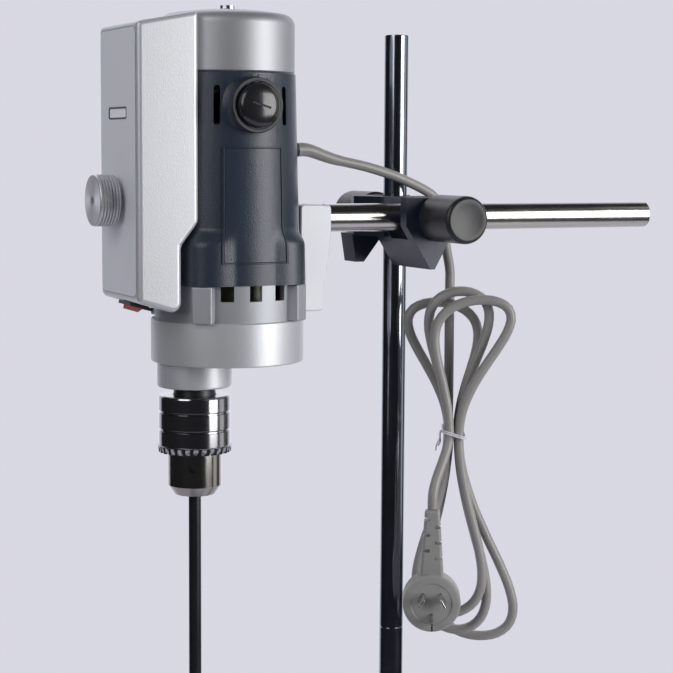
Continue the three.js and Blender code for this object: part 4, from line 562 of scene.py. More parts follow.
def make_gear_housing():
    floor = GEAR_LOW + GEAR_FLOOR
    cup = lathe("gear_cup", [
        (0, GEAR_LOW), *off(GEAR_RADIUS, GEAR_LOW, (GEAR_EDGE, 0), (0.3, -0.3), (0, -GEAR_EDGE)),
        *off(GEAR_RADIUS, FLANGE_LOW, (0, 0.5), (0.5, 0), (GEAR_WALL, 0)),
        (GEAR_RADIUS - GEAR_WALL, floor), (0, floor)], sides=128)
    join(cup, lathe("boss", [
        (0, BOSS_LOW), *off(OUTLET_RADIUS, BOSS_LOW, (1.4, 0), (0.4, -0.4), (0, -1.4)),
        (OUTLET_RADIUS, GEAR_LOW + 2), (0, GEAR_LOW + 2)], move(OUTPUT_X), 96))
    for angle in LOBE_ANGLES:
        place = move(SCREW_CIRCLE * cos(angle), SCREW_CIRCLE * sin(angle))
        cut(cup, rod("seat", 3, GEAR_LOW - 1, GEAR_LOW + 3.3, place, 32))
    cut(cup, rod("way", SPINDLE_WAY, BOSS_LOW - 1, floor + 2, move(OUTPUT_X)))
    soften(cup, 0.5, 3)
    dress(cup, SILVER, "head", "silver_paint", "gear_housing")


# Control box, front plate, display, knob and switch
PANEL_WIDTH = 68
BOX_FRONT = PANEL_FACE + 0.4
PLATE_BACK = PANEL_FACE + 1.6
BOX_REAR_HIGH, BOX_REAR_LOW = 32, 43
BOX_TOP_RISE = 7.5
BOX_DROP = 6.5
BOX_ROUND, BOX_EDGE, BOX_WALL = 6, 3.2, 2.5
SKIRT_CLEAR, FLARE_CLEAR = 52.3, 50
PANEL_MIDDLE = (PANEL_LOW + PANEL_HIGH) / 2
DISPLAY_Z = PANEL_HIGH - 52.7
DISPLAY_HEIGHT, DISPLAY_WIDTH, DISPLAY_RIM = 7.2, 32, 1
KNOB_Z = PANEL_LOW + 59.3
CONTROL_WAY = 4.3
PANEL_PLACE = move(0, 0, PANEL_MIDDLE) @ turn(-90, "Y")
KNOB_PLACE = move(0, 0, KNOB_Z) @ turn(-90, "Y")


def box_outline(inset):
    front = BOX_FRONT + inset
    low = PANEL_LOW - BOX_DROP + inset
    rear = -BOX_REAR_LOW - inset
    corner = arc((rear - BOX_ROUND, low + BOX_ROUND), BOX_ROUND, 0, -90, 6)
    return [
        (front, PANEL_LOW + inset), (front, PANEL_HIGH - inset),
        (-BOX_REAR_HIGH - inset, PANEL_HIGH + BOX_TOP_RISE - inset),
        (-BOX_REAR_HIGH - inset, SKIRT_TOP + SKIRT_FLARE + 3), (rear, SKIRT_TOP), *corner]


def make_box():
    half, wide = PANEL_WIDTH / 2, MOTOR_RADIUS + MOTOR_DRAFT + GAP
    shell = prism("box_shell", box_outline(0), -half, half, UPRIGHT)
    soften(shell, BOX_EDGE, 5, 30)
    hollow = prism("hollow", box_outline(BOX_WALL), BOX_WALL - half, half - BOX_WALL, UPRIGHT)
    motor_room = lathe("motor", [
        (0, GEAR_LOW), (wide, GEAR_LOW), (wide, FLANGE_HIGH), (MOTOR_RADIUS + GAP, SEAM),
        (MOTOR_RADIUS, CAP_TOP + 9), (0, CAP_TOP + 9)], sides=128)
    skirt_room = lathe("skirt", [
        (0, GEAR_LOW), (SKIRT_CLEAR, GEAR_LOW), (SKIRT_CLEAR, SKIRT_TOP),
        (FLARE_CLEAR, SKIRT_TOP + SKIRT_FLARE * 0.4), (wide, SKIRT_TOP + SKIRT_FLARE),
        (0, SKIRT_TOP + SKIRT_FLARE)], sides=128)
    cut(shell, hollow, motor_room, skirt_room,
        plate_form("recess", GAP, -PLATE_BACK - GAP, -BOX_FRONT + 1),
        rod("way", CONTROL_WAY, -PLATE_BACK - 9, -PANEL_FACE, KNOB_PLACE),
        box("view", (BOX_FRONT - 1, -14.4, DISPLAY_Z - 2), (BOX_FRONT + 5, 14.4, DISPLAY_Z + 2)),
        box("seat", (-9, -13, -8), (9, 13, 8), switch_place()))
    smooth(shell.data, 40)
    dress(shell, SILVER, "head", "silver_paint", "control_box")


def switch_place():
    run = BOX_FRONT + BOX_REAR_LOW + BOX_ROUND
    slope = atan2(BOX_DROP, -run)
    x = (BOX_FRONT - BOX_REAR_LOW - BOX_ROUND) / 2
    z = PANEL_LOW - (x - BOX_FRONT) * tan(slope)
    return move(x, 0, z) @ Matrix.Rotation(slope, 4, "Y")


def plate_form(name, grow, low, high):
    """The front plate's outline, grown by a gap, between two distances ahead of the motor."""
    inset = PLATE_RIM - grow
    outline = rounded(PANEL_HIGH - PANEL_LOW - 2 * inset, PANEL_WIDTH - 2 * inset, BOX_ROUND - inset / 2)
    return prism(name, outline, low, high, PANEL_PLACE)


def display_form(name, grow, radius, low, high):
    """The display's outline, in the same way."""
    outline = rounded(DISPLAY_HEIGHT + 2 * grow, DISPLAY_WIDTH + 2 * grow, radius, 4)
    return prism(name, outline, low, high, PANEL_PLACE @ move(DISPLAY_Z - PANEL_MIDDLE))


def make_front_plate():
    back, face = -PLATE_BACK, -PANEL_FACE
    plate = plate_form("panel_plate", 0, back, face)
    soften(plate, 0.35, 3, 60)
    cut(plate, display_form("view", 0.1, 1.6, face - 1.9, face + 1),
        rod("way", CONTROL_WAY, back - 1, face + 1, KNOB_PLACE))
    soften(plate, 0.25, 2, 60)
    dress(plate, LIT_PANEL_PAINT, "head", "silver_paint", "front_plate")

    bezel = display_form("display_bezel", 0, 1.5, face - 1.5, face + 0.1)
    cut(bezel, display_form("hole", -DISPLAY_RIM, 0.9, face - 0.4, face + 1))
    soften(bezel, 0.15, 2)
    screen = display_form("display_pane", -DISPLAY_RIM, 0.9, face - 0.6, face - 0.3)
    dress(bezel, BLACK, "head", "display_glass", "display_window")
    dress(screen, SCREEN, "head", "display_glass")


KNOB_RADIUS, KNOB_LENGTH, KNOB_BACK = 15.5, 13, -PANEL_FACE + 3
KNOB_EDGE, KNOB_GROOVES, GROOVE_DEPTH = 0.7, 6, 0.9
GROOVE_SHAPE = ((0, 0), (0.12, 0.8), (0.25, 1), (0.38, 0.8), (0.5, 0), (0.95, 0))


def make_knob():
    radius, back, end, edge = KNOB_RADIUS, KNOB_BACK, KNOB_BACK + KNOB_LENGTH, KNOB_EDGE
    profile = [(0, back), (radius - edge, back), (radius, back + edge)]
    step = (KNOB_LENGTH - 3 * edge) / KNOB_GROOVES
    for i in range(KNOB_GROOVES):
        low = back + 1.5 * edge + step * i
        profile += [(radius - GROOVE_DEPTH * deep, low + step * share) for share, deep in GROOVE_SHAPE]
    profile += [*off(radius, end, (0, edge), (edge * 0.4, edge * 0.3), (edge, 0)),
                (4, end), (2, end - 0.7), (0, end - 1.2)]
    knob = lathe("speed_grip", profile, KNOB_PLACE, 96)
    smooth(knob.data, 24)
    dress(knob, KNOB, "speed_knob", "silver_paint", "speed_knob")


# Bracket behind the motor, which holds the support bar
BRACKET_REAR, FOOT_REAR = 66, 60.6
FOOT_HEIGHT, BRACKET_HALF = 17, 12
BAR_RADIUS, BAR_STUD = 9, 5
BAR_PLACE = move(0, 0, BAR_Z) @ turn(90, "Y")
BRACKET_TOP = BAR_Z + 8.5
SEAT_START, SEAT_RADIUS = 55.3, 4.6


def make_bracket():
    foot_low = FLANGE_LOW + GAP + 2.5
    foot_high = foot_low + FOOT_HEIGHT
    inner, rear, top, front = MOTOR_RADIUS + 2.5, BRACKET_REAR, BRACKET_TOP, FLANGE_RADIUS - FLANGE_WALL
    outline = round_corners([
        (front, foot_low), (FOOT_REAR, foot_low), (FOOT_REAR, foot_high),
        (rear - 4, foot_high + 3), (rear, BAR_Z - BAR_RADIUS), (rear, top), (inner, top + 0.6),
        (inner, foot_high), (front, foot_high)], 3)
    bracket = prism("bracket_casting", outline, -BRACKET_HALF, BRACKET_HALF, UPRIGHT)
    soften(bracket, 1.4, 4, 40)
    cut(bracket, rod("motor", MOTOR_RADIUS + MOTOR_DRAFT + GAP, foot_low - 3, top + 2, sides=128),
        rod("stud", BAR_STUD + GAP, inner + 5, rear + 5, BAR_PLACE),
        rod("seat", SEAT_RADIUS, SEAT_START, rear + 5,
            move(0, 0, (foot_low + foot_high) / 2) @ turn(90, "Y"), 32))
    dress(bracket, WHITE, "head", "white_paint", "rear_bracket")


# Keyed chuck and rod
SLEEVE_DROP, SLEEVE_HIGH = 1.6, 30.8
SLEEVE_LOW = high_of("chuck_sleeve") - SLEEVE_DROP - SLEEVE_HIGH
RING_LOW = low_of("chuck_sleeve")
NOSE_LOW = RING_LOW - 21
JAW_TIP = low_of("chuck_body")
NOSE_TIP = JAW_TIP - 2.5
SLEEVE_RADIUS, RING_RADIUS, NOSE_RADIUS = 22.2, 23, 16.6
RING_TEETH, TOOTH_DEPTH, VALLEY_DEPTH = 28, 3.8, 3
GROOVE_PLACES = (0.31, 0.67)
SLEEVE_INSIDE, SLEEVE_LIP, LIP_THICK = 18.3, 13.6, 3.4
ROD_BORE, ROD_RADIUS, ROD_THICK = 3.6, 3.5, 3.9
KEY_ANGLES, KEY_RADIUS, KEY_Z = (6, 126, 246), 3.1, NOSE_LOW + 12.5
JAW_ANGLES, JAW_LEAN, JAW_RADIUS = (66, 186, 306), 15, 2.9
COLLAR_LOW, COLLAR_BORE = BOSS_LOW - 3.8 - SLEEVE_DROP, 6.1


def tooth_radius(radius, z, angle):
    """Cuts the valleys between the teeth into the ring's lower edge."""
    phase = (angle * RING_TEETH / (2 * pi)) % 1
    valley = max(0, 1 - abs(phase - 0.5) * 3)
    rise = (z - RING_LOW) / TOOTH_DEPTH
    inside = radius < RING_RADIUS - 2 * TOOTH_DEPTH
    return radius if rise > 1.01 or inside else radius - valley * (1 - rise) * VALLEY_DEPTH


def make_sleeve(top, out):
    grooves = []
    for share in GROOVE_PLACES:
        z = SLEEVE_LOW + SLEEVE_HIGH * share
        grooves += off(SLEEVE_RADIUS, z, (0, 0.9), (0.7, 0.6), (0.8, 0), (0.7, -0.6), (0, -0.9))
    teeth = [(RING_RADIUS - 0.5 + 0.5 * i / 4, RING_LOW + TOOTH_DEPTH * i / 4) for i in range(5)]
    sleeve = lathe("sleeve_shell", [
        (NOSE_RADIUS + 1.4, RING_LOW + 0.4), (RING_RADIUS - 3.4, RING_LOW + 0.4), *teeth,
        (RING_RADIUS, RING_LOW + TOOTH_DEPTH * 1.1), *off(RING_RADIUS, SLEEVE_LOW, (0, 0.6), (0.5, 0.1)),
        (SLEEVE_RADIUS, SLEEVE_LOW), *grooves, *off(SLEEVE_RADIUS, top, (0, 1.2), (0.4, 0.4), (1.2, 0)),
        (SLEEVE_LIP, top), (SLEEVE_LIP, top - LIP_THICK), (SLEEVE_INSIDE, top - LIP_THICK),
        (SLEEVE_INSIDE, RING_LOW + 1.6)], out, 240, tooth_radius)
    smooth(sleeve.data, 22)
    dress(sleeve, CHROME, "chuck_sleeve", "chrome", "chuck_sleeve")


def make_chuck():
    top, out = high_of("chuck_sleeve") - SLEEVE_DROP, move(OUTPUT_X)
    make_sleeve(top, out)
    body = lathe("chuck_nose", [
        (ROD_BORE, NOSE_TIP), (11.6, NOSE_TIP), (12.6, NOSE_TIP + 0.4),
        (NOSE_RADIUS - 0.5, NOSE_LOW - 0.4), (NOSE_RADIUS, NOSE_LOW), (NOSE_RADIUS, RING_LOW + 1.2),
        (14, RING_LOW + 1.6), (14, top - LIP_THICK - 0.4), (SLEEVE_LIP - GAP, top - LIP_THICK - 0.2),
        (SLEEVE_LIP - GAP, top - 0.2), (ROD_BORE, top - 0.2)], out, 96)
    for angle in KEY_ANGLES:
        place = out @ turn(angle, "Z") @ move(0, 0, KEY_Z) @ turn(90, "Y")
        cut(body, rod("key", KEY_RADIUS, 10, 18, place, 32))
    pivot = JAW_TIP - (ROD_RADIUS + 0.6 * JAW_RADIUS) / tan(radians(JAW_LEAN))
    for angle in JAW_ANGLES:
        place = out @ turn(angle, "Z") @ move(0, 0, pivot) @ turn(JAW_LEAN, "Y")
        cut(body, rod("way", JAW_RADIUS + 0.1, 0, pivot, place, 32))
    soften(body, 0.25, 2)
    smooth(body.data, 24)
    dress(body, NICKEL, "spindle", "chrome", "chuck_body")
    collar = lathe("collar_ring", [
        (COLLAR_BORE, COLLAR_LOW), (12.9, COLLAR_LOW), (13.2, COLLAR_LOW + 0.4),
        (12.6, BOSS_LOW - 0.4), (COLLAR_BORE, BOSS_LOW - 0.4)], out, 64)
    dress(collar, BLACK, "spindle", "black_plastic", "chuck_collar")


HUB_HIGH, HUB_RADIUS = 14, 6.5
BLADES, BLADE_REACH, BLADE_HALF, BLADE_THICK, BLADE_PITCH = 4, 25, 6, 1.6, 40


def make_rod():
    low, high, out = low_of("stirrer_rod"), high_of("stirrer_rod"), move(OUTPUT_X)
    hub_low, thicker = low + 1.2, low + 16
    shaft = lathe("rod_shaft", [
        (0, low), (2.8, low), (ROD_RADIUS, low + 0.7), (ROD_RADIUS, thicker), (ROD_THICK, thicker + 0.4),
        (ROD_THICK, NOSE_TIP - 0.5), (ROD_RADIUS, NOSE_TIP - 0.1), (ROD_RADIUS, high - 0.3), (0, high)],
        out, 48)
    dress(shaft, DARK_ROD, "spindle", "steel", "stirrer_rod")
    hub_top = hub_low + HUB_HIGH
    hub = lathe("impeller_hub", [
        (ROD_BORE, hub_low), (HUB_RADIUS - 0.5, hub_low), (HUB_RADIUS, hub_low + 0.6),
        *off(HUB_RADIUS, hub_top, (0, 0.6), (0.5, 0)), (ROD_BORE, hub_top)], out, 48)
    near, far, wide, half = HUB_RADIUS - 1, BLADE_REACH, BLADE_HALF, BLADE_THICK / 2
    outline = round_corners([(near, -wide), (far, -wide), (far, wide), (near, wide)], 3)
    for i in range(BLADES):
        place = out @ move(0, 0, hub_low + HUB_HIGH / 2) @ turn(90 * i, "Z") @ turn(BLADE_PITCH, "X")
        join(hub, prism("blade", outline, -half, half, place))
    soften(hub, 0.25, 2)
    dress(hub, STEEL, "spindle", "steel", "impeller")


def dress_inner_pieces():
    steel = ["armature", "drive_gear", "output_spindle", "cap_screw", "bracket_screw", "pole_bolt"]
    steel += [f"{shaft}_bearing_{end}" for shaft in ("armature", "spindle") for end in ("low", "top")]
    steel += [f"housing_screw_{i}" for i in range(1, 5)] + [f"chuck_jaw_{i}" for i in range(1, 4)]
    for node in steel:
        keep(node, STEEL)
    for node in ("cooling_fan", "cord_gland", "speed_dial_base"):
        keep(node, BLACK)
    for node in ("carbon_brush_near", "carbon_brush_far"):
        keep(node, CARBON)
    keep("field_stator", COPPER)
    keep("display_board", BOARD)
    keep("switch_frame", BLACK, 0.4)
    keep("switch_rocker", RED, 0.6)


# Stand: base plate on rubber feet, and a pole of two screwed sections
POLE_RADIUS = 8
POLE_SIDES = 64


def make_stand():
    low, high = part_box("base_plate")
    length, width = (high[0] - low[0]) / MM, (high[1] - low[1]) / MM
    bottom = low_of("base_plate")
    plate = prism("stand_plate", rounded(length, width, 14, 12), bottom, PLATE_TOP, above("base_plate"))
    soften(plate, 1.4, 4, 50)
    pole = move(POLE_X, POLE_Y)
    cut(plate, rod("seat", 11, bottom - 1, bottom + 5, pole, 6))
    dress(plate, PLATE, "stand", "plate_paint", "base_plate")
    for i in range(1, 5):
        node = f"rubber_foot_{i}"
        foot = lathe(f"foot_pad_{i}", [
            (0, 0.5), (9.2, 0.5), (9.4, 0), (10.6, 0), (10.9, 0.3), (12, bottom - 0.2), (11.8, bottom),
            (0, bottom)], above(node), 64)
        dress(foot, RUBBER, "stand", "rubber", node)
    joint, top = high_of("lower_pole"), high_of("upper_pole")
    lower = lathe("pole_lower", [
        (0, PLATE_TOP), (POLE_RADIUS, PLATE_TOP), *off(POLE_RADIUS, joint, (0, 0.5), (0.5, 0)),
        (0, joint)], pole, POLE_SIDES)
    upper = lathe("pole_upper", [
        (0, joint), *off(POLE_RADIUS, joint, (0.5, 0), (0, -0.5)),
        *off(POLE_RADIUS, top, (0, 1), (0.3, 0.3), (1, 0)), (0, top)], pole, POLE_SIDES)
    dress(lower, POLE, "stand", "chrome", "lower_pole")
    dress(upper, POLE, "pole_top", "chrome", "upper_pole")


def make_bar():
    stud, start, end = MOTOR_RADIUS + 7.8, BRACKET_REAR + GAP, high_of("support_bar", 0)
    bar = lathe("bar_rod", [
        (0, stud), (BAR_STUD, stud), (BAR_STUD, start), (BAR_RADIUS, start),
        *off(BAR_RADIUS, end, (0, 1), (0.3, 0.3), (1, 0)), (0, end)], BAR_PLACE, 64)
    dress(bar, STAINLESS, "bar", "steel", "support_bar")


# Cross clamp: one casting with a notch for the bar, a notch for the pole and a screw for each
CLAMP_HALF, CLAMP_UP, CLAMP_GRIP, CLAMP_DROP = 22, 13, 0.15, 33
CLAMP_FRONT = [(-CLAMP_HALF, CLAMP_UP), (-CLAMP_HALF, -5), (-4, -CLAMP_DROP), (-1, -CLAMP_DROP),
               (15, -5), (15, CLAMP_UP)]
LUG_FAR, LUG_THICK = 24, 8
RIB_RADIUS, RIB_RISE, SCREW_WAY = 10.3, 1, 5.3
GRIP_RADIUS, GRIP_BACK, GRIP_LENGTH, SCREW_RADIUS = 15, LUG_FAR + 2, 38, 5


def make_clamp():
    here = move(POLE_X, 0, BAR_Z)
    upright, across = here @ UPRIGHT, here @ turn(-90, "X")
    bar, pole = BAR_RADIUS + CLAMP_GRIP, POLE_RADIUS + CLAMP_GRIP
    half, up = CLAMP_HALF, CLAMP_UP
    near, far = (-LUG_FAR, -LUG_FAR + LUG_THICK), (POLE_Y + LUG_FAR - LUG_THICK, POLE_Y + LUG_FAR)
    bar_face, pole_face = bar * sqrt(0.5), POLE_Y - pole * sqrt(0.5)
    casting = prism("clamp_casting", CLAMP_FRONT, near[0], pole_face, upright)
    floor = -(bar * sqrt(2) + 1)
    cut(casting, box("channel", (-half - 1, near[1], floor), (half + 1, bar_face, up + 1), here))
    hook = [
        (14, bar_face + 2.5), (14, pole_face), (-pole - 3, pole_face), (-pole - 3, far[0]),
        (half - 2, far[0]), (half - 2, far[1]), (-half + 1, far[1]), (-half - 9, POLE_Y),
        (-half + 1, bar_face + 2.5)]
    heel = [(-half - 8, 1 - up), (-half - 5, -31), (-half + 1, -31), (-6, 1 - up)]
    recess = [(-half - 2, -15), (-half, -25), (-11, -15)]
    join(casting, prism("hook", hook, -up, up, here), prism("heel", heel, POLE_Y + 4, far[1] - 3, upright))
    cut(casting, prism("recess", recess, POLE_Y, POLE_Y + 11, upright))
    join(casting, rod("rib", RIB_RADIUS, near[0] - RIB_RISE, near[0] + 2.5, across),
         rod("rib", RIB_RADIUS, far[1] - 2.5, far[1] + RIB_RISE, across))
    cut(casting, box("notch", (-half - 1, -bar, -bar), (half + 1, bar, bar), here @ turn(45, "X")),
        box("notch", (-pole, -pole, -CLAMP_DROP), (pole, pole, up + 1),
            here @ move(0, POLE_Y) @ turn(45, "Z")),
        rod("way", SCREW_WAY, near[0] - 3, near[1] + 1, across, 32),
        rod("way", SCREW_WAY, far[0] - 1, far[1] + 3, across, 32))
    soften(casting, 1.3, 3, 40)
    smooth(casting.data, 45)
    dress(casting, CLAMP, "clamp", "navy_paint", "clamp_body")

    radius, back, end = GRIP_RADIUS, GRIP_BACK, GRIP_BACK + GRIP_LENGTH
    for name, y, side, grip in (("bar", 0, -1, BAR_RADIUS + GAP), ("pole", POLE_Y, 1, POLE_RADIUS + GAP)):
        knob = lathe(f"{name}_screw_knob", [
            (0, grip), (SCREW_RADIUS - 0.6, grip), (SCREW_RADIUS, grip + 0.6), (SCREW_RADIUS, back),
            (radius - 1.5, back), (radius, back + 1.5),
            *off(radius, end, (0, 3), (0.25, 1.8), (0.9, 0.9), (1.8, 0.25), (2.6, 0), (5, 0.4), (9, 0.9)),
            (0, end - 1.2)], here @ move(0, y) @ turn(-90 * side, "X"), 96)
        dress(knob, BLACK, f"{name}_knob", "black_plastic", f"{name}_clamp_knob")


# Mains lead: over the clamp, down behind the bar, through the tied hank to its plug
CORD = 6.5
HANK_PITCH = 7.2
HANK_TURNS = 3
RUN_ASIDE = HANK_PITCH * 0.45
HANK_DEPTH = HANK_PITCH * HANK_TURNS / 2
HANK_LEAD, LEAD_BACK, HANK_TAIL = 86, 4, 47
PLUG_LEFT, PLUG_AHEAD = 14, 15
TOP_LOOPS = ((86, 21, -12), (94, 18, 4), (89, 22, 18))
BOTTOM_LOOPS = ((141, 26, 20), (135, 19, 4), (122, 20, -3))
LOOP_BULGE = 0.77
LOOP_STEPS, EASE_STEPS, CURVE_STEPS = 18, 8, 12
LEAD_SPACING = 4
LEAD_ROUTE = [
    (80, 15.5, 37.3), (105, 16.2, 32.2), (125, 17, 26.6), (138, 17.4, 21.8), (148, 17.5, 17.4),
    (155.5, 17.6, 13), (160.5, 17.7, 6), (163, 17.6, -5), (164.5, 15.2, -21), (165.2, 10.8, -37)]
HANK = move(POLE_X + 26, -4, BAR_Z - 143) @ turn(-28, "Z")
LEAD_START = Vector((MOTOR_RADIUS + 12.3, 15, BAR_Z + 43))
RELIEF_END, RELIEF_RIBS = 8, 40
TIE_RADIUS, TIE_ROUND, TIE_TILT = 0.6, 3.6, 0.3


def hank_point(loop, turn_share, phase, side):
    height, width, shift = loop
    swing = width / LOOP_BULGE * sin(2 * phase) * sin(phase)
    x = side * (RUN_ASIDE * cos(phase) + swing) + shift * sin(phase) ** 2
    y = HANK_DEPTH - HANK_PITCH * (turn_share + phase / (2 * pi))
    return Vector((x, y, side * height * sin(phase)))


def easing(share):
    return share * share * (3 - 2 * share)


def hank_line():
    """The hank's centreline in its own frame: the lead, the bottom and top loops, and the tail."""
    lead = [Vector((-RUN_ASIDE, HANK_DEPTH + LEAD_BACK, HANK_LEAD))]
    for share in (1 - i / EASE_STEPS for i in range(EASE_STEPS + 1)):
        lead.append(Vector((-RUN_ASIDE, HANK_DEPTH + LEAD_BACK * easing(share), (HANK_LEAD - CORD) * share)))
    for one in range(HANK_TURNS):
        for loop, ahead, side in ((BOTTOM_LOOPS[one], 0, -1), (TOP_LOOPS[one], 0.5, 1)):
            lead += [hank_point(loop, one + ahead, pi * i / LOOP_STEPS, side)
                     for i in range(1, LOOP_STEPS + 1)]
    for i in range(1, EASE_STEPS + 1):
        ease = easing(i / EASE_STEPS)
        lead.append(Vector((-RUN_ASIDE - (PLUG_LEFT - RUN_ASIDE) * ease, -HANK_DEPTH - PLUG_AHEAD * ease,
                            -(HANK_TAIL - CORD) * i / EASE_STEPS)))
    lead.append(Vector((-PLUG_LEFT, -HANK_DEPTH - PLUG_AHEAD, -HANK_TAIL)))
    return lead


def lead_line():
    hank = [HANK @ p for p in hank_line()]
    route = [LEAD_START, LEAD_START + Vector((CORD, 0, 0))]
    route += [Vector((x, y, BAR_Z + z)) for x, y, z in LEAD_ROUTE]
    route += [hank[0] + Vector((0, 0, 2 * CORD)), hank[0] + Vector((0, 0, CORD))]
    return smooth_line(route + hank, LEAD_SPACING)


def smooth_line(points, spacing):
    """A centripetal curve through the points, in even steps of about the spacing."""
    points = [p for i, p in enumerate(points) if not i or (p - points[i - 1]).length > 0.5]
    ends = [2 * points[0] - points[1], *points, 2 * points[-1] - points[-2]]
    fine = []
    for a, b, c, d in zip(ends, ends[1:], ends[2:], ends[3:]):
        t1 = (b - a).length ** 0.5
        t2 = t1 + (c - b).length ** 0.5
        t3 = t2 + (d - c).length ** 0.5
        for i in range(CURVE_STEPS):
            t = t1 + (t2 - t1) * i / CURVE_STEPS
            ab, bc, cd = a.lerp(b, t / t1), b.lerp(c, (t - t1) / (t2 - t1)), c.lerp(d, (t - t2) / (t3 - t2))
            one, other = ab.lerp(bc, t / t2), bc.lerp(cd, (t - t1) / (t3 - t1))
            fine.append(one.lerp(other, (t - t1) / (t2 - t1)))
    fine.append(points[-1])
    spans = [(q - p).length for p, q in zip(fine, fine[1:])]
    length = sum(spans)
    count = max(2, round(length / spacing))
    even, walked, index = [fine[0]], 0, 0
    for k in range(1, count):
        target = length * k / count
        while walked + spans[index] < target:
            walked += spans[index]
            index += 1
        even.append(fine[index].lerp(fine[index + 1], (target - walked) / spans[index]))
    return [*even, fine[-1]]


def tube(name, points, radius_at, sides=16, closed=False):
    """A round tube along points; radius_at gives its radius at a share of its length."""
    bm = bmesh.new()
    across = Vector((0, 1, 0.05)).normalized()
    rings = []
    last = len(points) - 1
    for i, point in enumerate(points):
        before = points[i - 1] if i or closed else points[0]
        after = points[(i + 1) % len(points)] if i < last or closed else points[-1]
        along = (after - before).normalized()
        across = (across - along * across.dot(along)).normalized()
        up = along.cross(across)
        radius = radius_at(i / last)
        rings.append([bm.verts.new(point + across * radius * cos(a) + up * radius * sin(a))
                      for a in turns(sides)])
    bridge(bm, rings + rings[:1] if closed else rings, sides)
    if not closed:
        bm.faces.new(rings[0])
        bm.faces.new(rings[-1][::-1])
    return from_bmesh(name, bm)


def metres(point):
    return tuple(MOTOR + Vector(point) * MM)


def make_lead():
    line = lead_line()
    relief = tube("strain_relief", smooth_line(line[:RELIEF_END + 1], 1.2),
                  lambda t: 4.6 - 1.1 * t - 0.12 * sin(RELIEF_RIBS * t) ** 2, 32)
    dress(relief, GREY, None, "cord_grey")
    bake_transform(relief)

    cord = line[RELIEF_END - 1:]
    lead = tube("mains_lead", cord, lambda _: CORD / 2, 16)
    dress(lead, GREY, None, "cord_grey", "mains_cord", "cord_hank")
    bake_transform(lead)
    pieces = make_plug() + make_tie()


# Each loose end of the tie: out from the hank, share of its depth, height
TIE_ENDS = (((0.6, 0.55, 2), (2.2, 0.6, 0.6), (2.6, 0.66, -3), (4.6, 0.7, -7), (5.2, 0.7, -11)),
            ((0.6, 0.55, 2.4), (1.8, 0.5, 1.8), (2.6, 0.55, -1.4), (2.2, 0.6, -5), (3.6, 0.6, -8)))


def make_tie():
    x, y = RUN_ASIDE + CORD / 2 + GAP, HANK_DEPTH + CORD / 2 + GAP
    pieces = []
    outline = rounded(2 * (x + TIE_RADIUS), 2 * (y + TIE_RADIUS), TIE_ROUND, 6)
    for i, height in enumerate((-TIE_RADIUS, TIE_RADIUS)):
        ring = [HANK @ Vector((a, b, height - TIE_TILT * a)) for a, b in outline]
        pieces.append(tube(f"tie_turn_{i + 1}", ring, lambda _: TIE_RADIUS, 8, closed=True))
    for i, route in enumerate(TIE_ENDS):
        points = smooth_line([HANK @ Vector((-x - out, -y * share, z)) for out, share, z in route], 0.6)
        pieces.append(tube(f"tie_end_{i + 1}", points, lambda t: TIE_RADIUS - 0.15 * t, 8))
    whole, *others = pieces
    join(whole, *others)
    whole.name = "twist_tie"
    dress(whole, TIE, "clamp", "tie_white", "hank_tie")
    return [whole]


PLUG_RADIUS, PLUG_THICK, PLUG_EDGE = 19, 19, 2
RELIEF, RELIEF_WIDTHS, RELIEF_HALF = 44, (4.8, 7.8), 5
SLOTS, SLOT_START, SLOT_PITCH, SLOT_HEIGHT, SLOT_INSIDE = 6, 7, 5.2, 2.2, 1.6
PIN_HALF, PIN_ROOT, PIN_ROOM = (0.8, 3.175), 4, 0.15
# Each pin's name, place round the face in degrees, reach from its middle, length and lean
PINS = (("live", -60, 7.9, 17, -30), ("neutral", 60, 7.9, 17, 30), ("earth", 180, 10, 20, 0))


def make_plug():
    here = HANK @ move(-PLUG_LEFT, -HANK_DEPTH - PLUG_AHEAD, -HANK_TAIL - GAP)
    centre = -RELIEF - PLUG_RADIUS + PLUG_EDGE
    top, foot = RELIEF_WIDTHS
    plug = prism("plug_shell", [
        (-top, 0), (top, 0), (foot, -RELIEF), (foot, centre), (-foot, centre), (-foot, -RELIEF)],
        -RELIEF_HALF, RELIEF_HALF, here @ UPRIGHT)
    soften(plug, 2.2, 4)
    for i in range(SLOTS):
        side, z = (1 if i % 2 else -1), -SLOT_START - SLOT_PITCH * i
        near, far = sorted((side * SLOT_INSIDE, side * (foot + 2)))
        cut(plug, box("slot", (near, -foot, z), (far, foot, z + SLOT_HEIGHT), here))
    half, radius = PLUG_THICK / 2, PLUG_RADIUS
    facing = here @ move(0, 0, centre) @ turn(90, "X")
    join(plug, lathe("disc", [
        (0, -half), *off(radius, -half, (2.4, 0), (0.8, -0.8), (0, -2.4)),
        *off(radius, half, (0, 2), (0.5, 0.7), (1.8, 0), (5.4, 0), (6, 0.5)), (0, half - 0.5)], facing, 96))
    face = half - PLUG_EDGE / 4
    pins = []
    for name, angle, reach, length, lean in PINS:
        a = radians(angle)
        at = facing @ move(reach * sin(a), reach * cos(a)) @ turn(lean, "Z")
        x, y = PIN_HALF
        low, high = (-x - PIN_ROOM, -y - 0.125, face - PIN_ROOT - 0.1), (x + PIN_ROOM, y + 0.125, face + 2)
        cut(plug, box("way", low, high, at))
        pin = box(f"{name}_blade", (-x, -y, face - PIN_ROOT), (x, y, face + length), at)
        soften(pin, 0.45, 3)
        dress(pin, PIN, "clamp", "pin_brass", f"{name}_pin")
        pins.append(pin)
    soften(plug, 0.3, 2)
    smooth(plug.data, 28)
    dress(plug, PLUG, "clamp", "cord_grey", "plug_body")
    return [plug, *pins]


